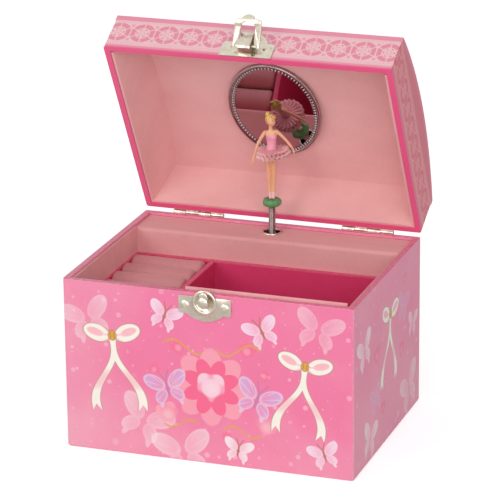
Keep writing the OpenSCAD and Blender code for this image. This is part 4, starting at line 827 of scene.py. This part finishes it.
# ---------------------------------------------------------------- clasp
# A pressed catch plate with its stud on the case, and on the lid a hasp plate whose folded
# strap holds the bar of a stirrup loop. Both plates are nailed with domed nails.
catch = rounded_copy("catch_plate", 0.3, "box", segments=3)
# the free top of the ring stands just clear of the hasp and its strap when the lid is shut
free_from, highest, room = 89.9 * mm, 91.7 * mm, 0.04 * mm
for vertex in catch.data.vertices:
    if vertex.co.z > free_from:
        vertex.co.y -= room
        vertex.co.z = min(vertex.co.z, highest)
rounded_copy("catch_stud", 0.3, "box")
rounded_copy("hasp_plate", 0.2, "lid")
rounded_copy("hasp_loop", 0.28, "loop")

# ---------------------------------------------------------------- figure spring
# A close-wound spring of thin steel wire stands on the movement's spindle and carries the
# figure's base. On the real box it bends when the lid folds the figure down; this mesh is one fixed coil.
figure_at = Vector((-1.5, 47.3, 0))
wire, coil, turns, coil_foot, coil_head = 0.31, 1.54, 33, 82.5, 103.0
points, per_turn, sides = [], 24, 8
steps = turns * per_turn
for i in range(steps + 1):
    angle, height = 2 * math.pi * i / per_turn, coil_foot + wire + (coil_head - coil_foot - 2 * wire) * i / steps
    out = Vector((math.cos(angle), math.sin(angle), 0))
    for k in range(sides):
        round_wire = 2 * math.pi * k / sides
        points.append(figure_at + out * (coil + wire * math.cos(round_wire))
            + Vector((0, 0, height + wire * math.sin(round_wire))))
spring = new_mesh("coil_spring", points, woven(steps + 1, sides))
turned_outward(spring)
spring.data.materials.append(metal_finish("spring_wire", (0.40, 0.34, 0.33), (0.56, 0.49, 0.48), 0.2, grain=1.5))
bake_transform(spring)
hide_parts("figure_spring")

# ---------------------------------------------------------------- figure
# A small moulded plastic ballerina, painted: bare skin, pink bodice, golden hair in a bun
# and pale slippers. She faces the front right and turns on her base with the spring.
facing = math.radians(19.4)
to_figure = Matrix.Translation(figure_at * mm) @ Matrix.Rotation(facing, 4, "Z")

def figure_point(w, point):
    """Millimetres from the figure's axis: her left, her back and up."""
    turned = w.add("ShaderNodeVectorRotate", {"Vector": point, "Center": figure_at, "Angle": -facing},
        rotation_type="Z_AXIS")
    return w.vector("SUBTRACT", turned.outputs[0], figure_at)

ball = bmesh.new()
bmesh.ops.create_icosphere(ball, subdivisions=3, radius=1.0)
ball_points = [v.co.copy() for v in ball.verts]
ball_faces = [[v.index for v in f.verts] for f in ball.faces]
ball.free()

def moulded(name, chains, fineness, smoothing):
    """One skin round chains of ovals, each (x, y, z, half width, half depth, half height), or of
    balls, each (x, y, z, radius)."""
    points, faces = [], []
    for chain in chains:
        chain = [oval if len(oval) == 6 else (*oval, oval[3], oval[3]) for oval in chain]
        for start, stop in zip(chain, chain[1:]):
            gap = math.dist(start[:3], stop[:3])
            steps = max(1, math.ceil(gap / (0.3 * min(start[3:] + stop[3:]))))
            for i in range(steps + 1):
                x, y, z, wide, deep, high = (a + (b - a) * i / steps for a, b in zip(start, stop))
                faces += [[len(points) + k for k in face] for face in ball_faces]
                points += [(x + p.x * wide, y + p.y * deep, z + p.z * high) for p in ball_points]
    rough = new_mesh(name + "_rough", points, faces)
    skin = rough.modifiers.new("skin", "REMESH")
    skin.mode, skin.voxel_size = "VOXEL", fineness * mm
    soften = rough.modifiers.new("soften", "SMOOTH")
    soften.factor, soften.iterations = 0.5, smoothing
    mesh = bpy.data.meshes.new_from_object(rough.evaluated_get(bpy.context.evaluated_depsgraph_get()))
    bpy.data.objects.remove(rough)
    mesh.polygons.foreach_set("use_smooth", [True] * len(mesh.polygons))
    mesh.transform(to_figure)
    piece = put(name, mesh)
    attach(piece, "dancer")
    return piece

leg_ovals = ((0.8, 0.0, -0.9, 107.4, 0.75, 0.9, 0.5), (0.95, -0.05, -0.3, 109.0, 0.85, 0.95, 0.8),
    (1.05, -0.1, 0.0, 111.0, 0.88, 0.9, 0.9), (1.15, -0.1, 0.25, 114.2, 1.05, 1.15, 1.0),
    (1.25, -0.15, 0.3, 117.2, 1.22, 1.32, 1.2), (1.3, -0.2, 0.0, 119.8, 1.2, 1.2, 1.0),
    (1.45, -0.25, 0.0, 124.0, 1.38, 1.45, 1.3), (1.55, -0.3, 0.0, 128.5, 1.6, 1.8, 1.4),
    (1.5, -0.2, 0.1, 131.5, 1.6, 2.0, 1.4))

def leg(side):
    """The ovals of one leg: out to its side by their first number, then moved by their second."""
    return [(out * side + shift, *rest) for out, shift, *rest in leg_ovals]

torso = [(-0.1, 0.0, 131.5, 3.0, 2.3, 1.4), (-0.05, 0.0, 133.6, 2.75, 2.05, 1.2),
    (0.0, 0.05, 136.4, 2.35, 1.65, 1.0), (0.0, 0.0, 138.6, 2.65, 1.85, 1.0), (0.0, 0.0, 140.4, 2.95, 1.9, 1.0),
    (-0.15, 0.05, 142.0, 3.0, 1.5, 0.9), (-0.35, 0.1, 143.2, 2.2, 1.1, 0.6)]
shoulders = [(-3.5, 0.0, 142.7, 1.0), (-0.4, 0.1, 143.1, 0.9, 0.95, 0.75), (2.85, 0.0, 143.0, 1.0)]
bust = [[(side * 1.35, -1.15, height, 1.2, 1.05, 1.15) for height in (139.9, 140.0)] for side in (-1, 1)]
neck = [(-0.45, 0.15, 143.4, 1.25, 1.1, 0.8), (-0.4, 0.1, 144.6, 0.98, 0.98, 0.6), (-0.4, 0.0, 146.8, 0.98, 1.0, 0.8)]
head = [(-0.4, 0.0, 149.2, 2.35, 2.45, 2.75), (0.1, -0.5, 148.1, 2.1, 2.1, 1.9), (0.55, -0.9, 147.2, 1.3, 1.3, 1.05)]
nose = [(1.5, -1.65, 148.9, 0.3, 0.3, 0.45), (1.72, -1.85, 148.25, 0.36, 0.36, 0.32)]
right_arm = [(-3.5, 0.0, 142.6, 1.0), (-5.2, -0.2, 140.0, 0.92), (-7.0, -0.5, 136.8, 0.76),
    (-8.1, -0.9, 133.6, 0.8), (-9.0, -1.2, 130.4, 0.58), (-9.5, -1.4, 129.0, 0.72, 0.5, 0.7),
    (-9.9, -1.6, 127.5, 0.55, 0.42, 0.6), (-10.15, -1.8, 126.4, 0.3, 0.3, 0.4)]
right_thumb = [(-9.2, -1.5, 129.3, 0.35), (-8.85, -2.0, 128.0, 0.26, 0.26, 0.3)]
left_arm = [(2.85, 0.0, 142.9, 1.0), (5.1, -0.3, 141.0, 0.9), (7.3, -0.6, 138.8, 0.76), (9.2, -0.9, 136.5, 0.78),
    (10.7, -1.2, 134.4, 0.56), (11.35, -1.4, 133.2, 0.62, 0.5, 0.7), (11.65, -1.6, 132.0, 0.5, 0.42, 0.55),
    (11.6, -1.8, 131.3, 0.28, 0.28, 0.35)]
dancer = moulded("painted_dancer", [leg(-1), leg(1), torso, shoulders, neck, head, nose, right_arm, right_thumb,
    left_arm] + bust, 0.2, 7)

painted_figure, w, point = new_finish("painted_figure", 0.38, Subsurface_Weight=0.12,
    Subsurface_Radius=(0.9, 0.45, 0.3), Subsurface_Scale=0.0008)
point = figure_point(w, point)
left, behind, up = w.part(point)
tint = w.noise(point, 0.35, 3)
colour = w.blend(tint, (0.80, 0.40, 0.23), (0.85, 0.46, 0.28))
neckline = w.plus(140.5, w.times(w.fade(w.size_of(w.minus(left, 0.4)), 0.0, 1.3), 0.9))
above = w.minus(up, neckline)
bodice = w.times(w.fade(above, -0.1, 0.1, 1, 0), w.fade(up, 130.0, 130.4))
bodice = w.times(bodice, w.fade(w.size_of(left), 3.6, 3.75, 1, 0))
colour = w.blend(bodice, colour, w.blend(tint, (0.80, 0.28, 0.40), (0.86, 0.38, 0.50)))
colour = w.blend(w.fade(up, 110.3, 110.7, 1, 0), colour, (0.86, 0.52, 0.52))
turned = w.add("ShaderNodeVectorRotate", {"Vector": point, "Center": (-0.4, 0.0, 149.2), "Angle": math.radians(-50)},
    rotation_type="Z_AXIS").outputs[0]
face_side, face_depth, face_up = w.part(turned)
in_front = w.fade(face_depth, -0.9, -0.6, 1, 0)
def touch(colour, across, height, wide, high, ink, strength):
    reach = round_mask(w, w.size_of(w.plus(face_side, 0.4)), face_up, (across, height), (wide, high), soft=0.5)[0]
    return w.blend(w.times(w.times(reach, in_front), strength), colour, ink)
colour = touch(colour, 1.35, 148.2, 0.7, 0.5, (0.80, 0.30, 0.22), 0.4)
colour = touch(colour, 0.95, 149.35, 0.45, 0.2, (0.16, 0.06, 0.03), 0.85)
colour = touch(colour, 0.95, 150.0, 0.5, 0.09, (0.38, 0.17, 0.06), 0.7)
colour = touch(colour, 0.0, 147.2, 0.55, 0.2, (0.72, 0.14, 0.13), 0.85)
w.coat(colour, w.fade(tint, 0.3, 0.7, 0.34, 0.44), w.noise(point, 2.5, 3), 0.15, 0.0001)
dancer.data.materials.append(painted_figure)
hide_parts("figure_dancer")

# Her hair is part of the moulding: a cap of combed strands, a swept fringe and a top bun.
hair = moulded("dancer_hair", [
    [(-0.75, 0.35, 150.1, 2.45, 2.55, 2.45), (-1.25, 0.8, 149.4, 2.0, 2.1, 2.2), (-1.2, 0.9, 147.9, 1.45, 1.4, 1.3)],
    [(-2.0, 0.4, 152.3, 1.1, 1.1, 0.9), (-1.9, 0.4, 153.0, 0.85, 0.85, 0.7)],
    [(-0.9, -1.3, 152.0, 0.8, 0.8, 0.6), (0.4, -1.6, 151.9, 0.75, 0.75, 0.6), (1.6, -1.0, 151.3, 0.7, 0.75, 0.6),
        (2.05, -0.1, 150.3, 0.5, 0.7, 0.7)],
    [(-1.9, -1.2, 151.0, 0.7, 0.8, 0.8), (-2.35, -0.9, 149.4, 0.55, 0.8, 0.9),
        (-2.3, -0.3, 147.9, 0.45, 0.7, 0.7)]], 0.2, 4)
golden_hair, w, point = new_finish("golden_hair", 0.4)
point = figure_point(w, point)
combed = w.vector("MULTIPLY", point, (1.0, 0.7, 0.35))
strands = w.add("ShaderNodeTexWave", {"Vector": combed, "Scale": 0.62, "Distortion": 5.0, "Detail": 2.0},
    wave_type="BANDS", bands_direction="DIAGONAL").outputs["Fac"]
w.coat(w.blend(strands, (0.60, 0.34, 0.06), (0.88, 0.62, 0.20)), None, strands, 0.5, 0.00025)
hair.data.materials.append(golden_hair)

# ---------------------------------------------------------------- tutu
# Three thin moulded plastic tiers with deep, even flutes; their outer edges are painted paler, a painted highlight.
# They are one piece pushed up over the hips, a little higher on her left.
flutes, per_flute = 22, 12
def tier(inner, outer, top, drop, deep, phase, lean):
    """One fluted disc of two skins, added to the skirt's points and faces."""
    first, around, spans = len(points), flutes * per_flute, 9
    for underside in (False, True):
        for i in (range(spans + 1) if not underside else reversed(range(spans + 1))):
            s = i / spans
            for k in range(around):
                angle = 2 * math.pi * k / around
                uneven = 1 + 0.22 * math.sin(3 * angle + lean) + 0.15 * math.sin(5 * angle + 2 * lean)
                wave = flutes * angle + phase
                bent = angle + 0.4 / flutes * math.sin(2 * wave) * s * s
                radius = inner + (outer - inner) * s + 1.0 * (abs(math.sin(wave / 2)) - 0.65) * s ** 3
                height = top - drop * s ** 1.6 + deep * uneven * math.sin(wave) * s ** 2.4 - (0.32 if underside else 0.0)
                points.append((radius * math.cos(bent), radius * math.sin(bent), height))
    faces.extend(woven(2 * (spans + 1), around, first, looped=True))
points, faces = [], []
tier(2.3, 8.3, 133.6, 0.5, 0.75, 0.0, 0.4)
tier(2.3, 9.0, 132.5, 1.2, 0.8, 2.4, 1.7)
tier(2.3, 8.1, 131.6, 1.6, 0.6, 4.4, 3.1)
tutu = new_mesh("fluted_tutu", points, faces)
turned_outward(tutu)
waist_in, waist_out = (Matrix.Translation(Vector(at) * mm) for at in ((0.6, 0, 132), (0, 0, -132)))
lean = Matrix.Rotation(math.radians(-5), 4, "Y") @ Matrix.Rotation(math.radians(2), 4, "X")
tutu.data.transform(to_figure @ waist_in @ lean @ waist_out)
tutu_plastic, w, point = new_finish("tutu_plastic", 0.36, Subsurface_Weight=0.15, Subsurface_Radius=(0.9, 0.45, 0.4),
    Subsurface_Scale=0.0008)
point = figure_point(w, point)
left, behind, up = w.part(point)
off_axis = w.vector("LENGTH", on_sheet(w, w.minus(left, 0.6), behind))
# Paler towards the outer edge of the tiers: a painted highlight, with noise for random tone.
pale = w.plus(w.fade(off_axis, 6.8, 8.8, 0, 0.75), w.times(w.noise(point, 0.6, 3), 0.3))
w.coat(w.blend(pale, (0.84, 0.38, 0.40), (0.90, 0.56, 0.55)), None, w.noise(point, 1.8, 3), 0.2, 0.00015)
tutu.data.materials.append(tutu_plastic)
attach(tutu, "dancer")
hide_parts("figure_tutu")

# ---------------------------------------------------------------- figure base
# A lobed green plastic foot moulded round the top of the spring. The slippers stand in its
# slightly dished top.
outline = [(0.02, 103.0), (3.4, 103.0), (4.1, 103.15), (4.6, 103.6), (4.85, 104.3), (4.9, 105.1), (4.75, 105.9),
    (4.35, 106.55), (3.8, 106.85), (3.3, 106.8), (2.8, 106.5), (0.02, 106.45)]
points, around, lobes = [], 96, 7
for radius, height in outline:
    for k in range(around):
        angle = 2 * math.pi * k / around
        lobe = 1 + 0.035 * math.cos(lobes * angle) * min(1, max(0, radius - 2.5))
        points.append((radius * lobe * math.cos(angle), radius * lobe * math.sin(angle), height))
foot = new_mesh("lobed_foot", points, woven(len(outline), around))
turned_outward(foot)
foot.data.transform(to_figure)
green_plastic, w, point = new_finish("green_plastic", 0.3)
point = figure_point(w, point)
mottle = w.noise(point, 0.5, 4)
green = w.blend(mottle, (0.07, 0.25, 0.09), (0.14, 0.38, 0.15))
w.coat(green, w.fade(mottle, 0.3, 0.7, 0.24, 0.38), w.noise(point, 1.6, 3), 0.3, 0.00015)
foot.data.materials.append(green_plastic)
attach(foot, "dancer")
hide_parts("figure_base")
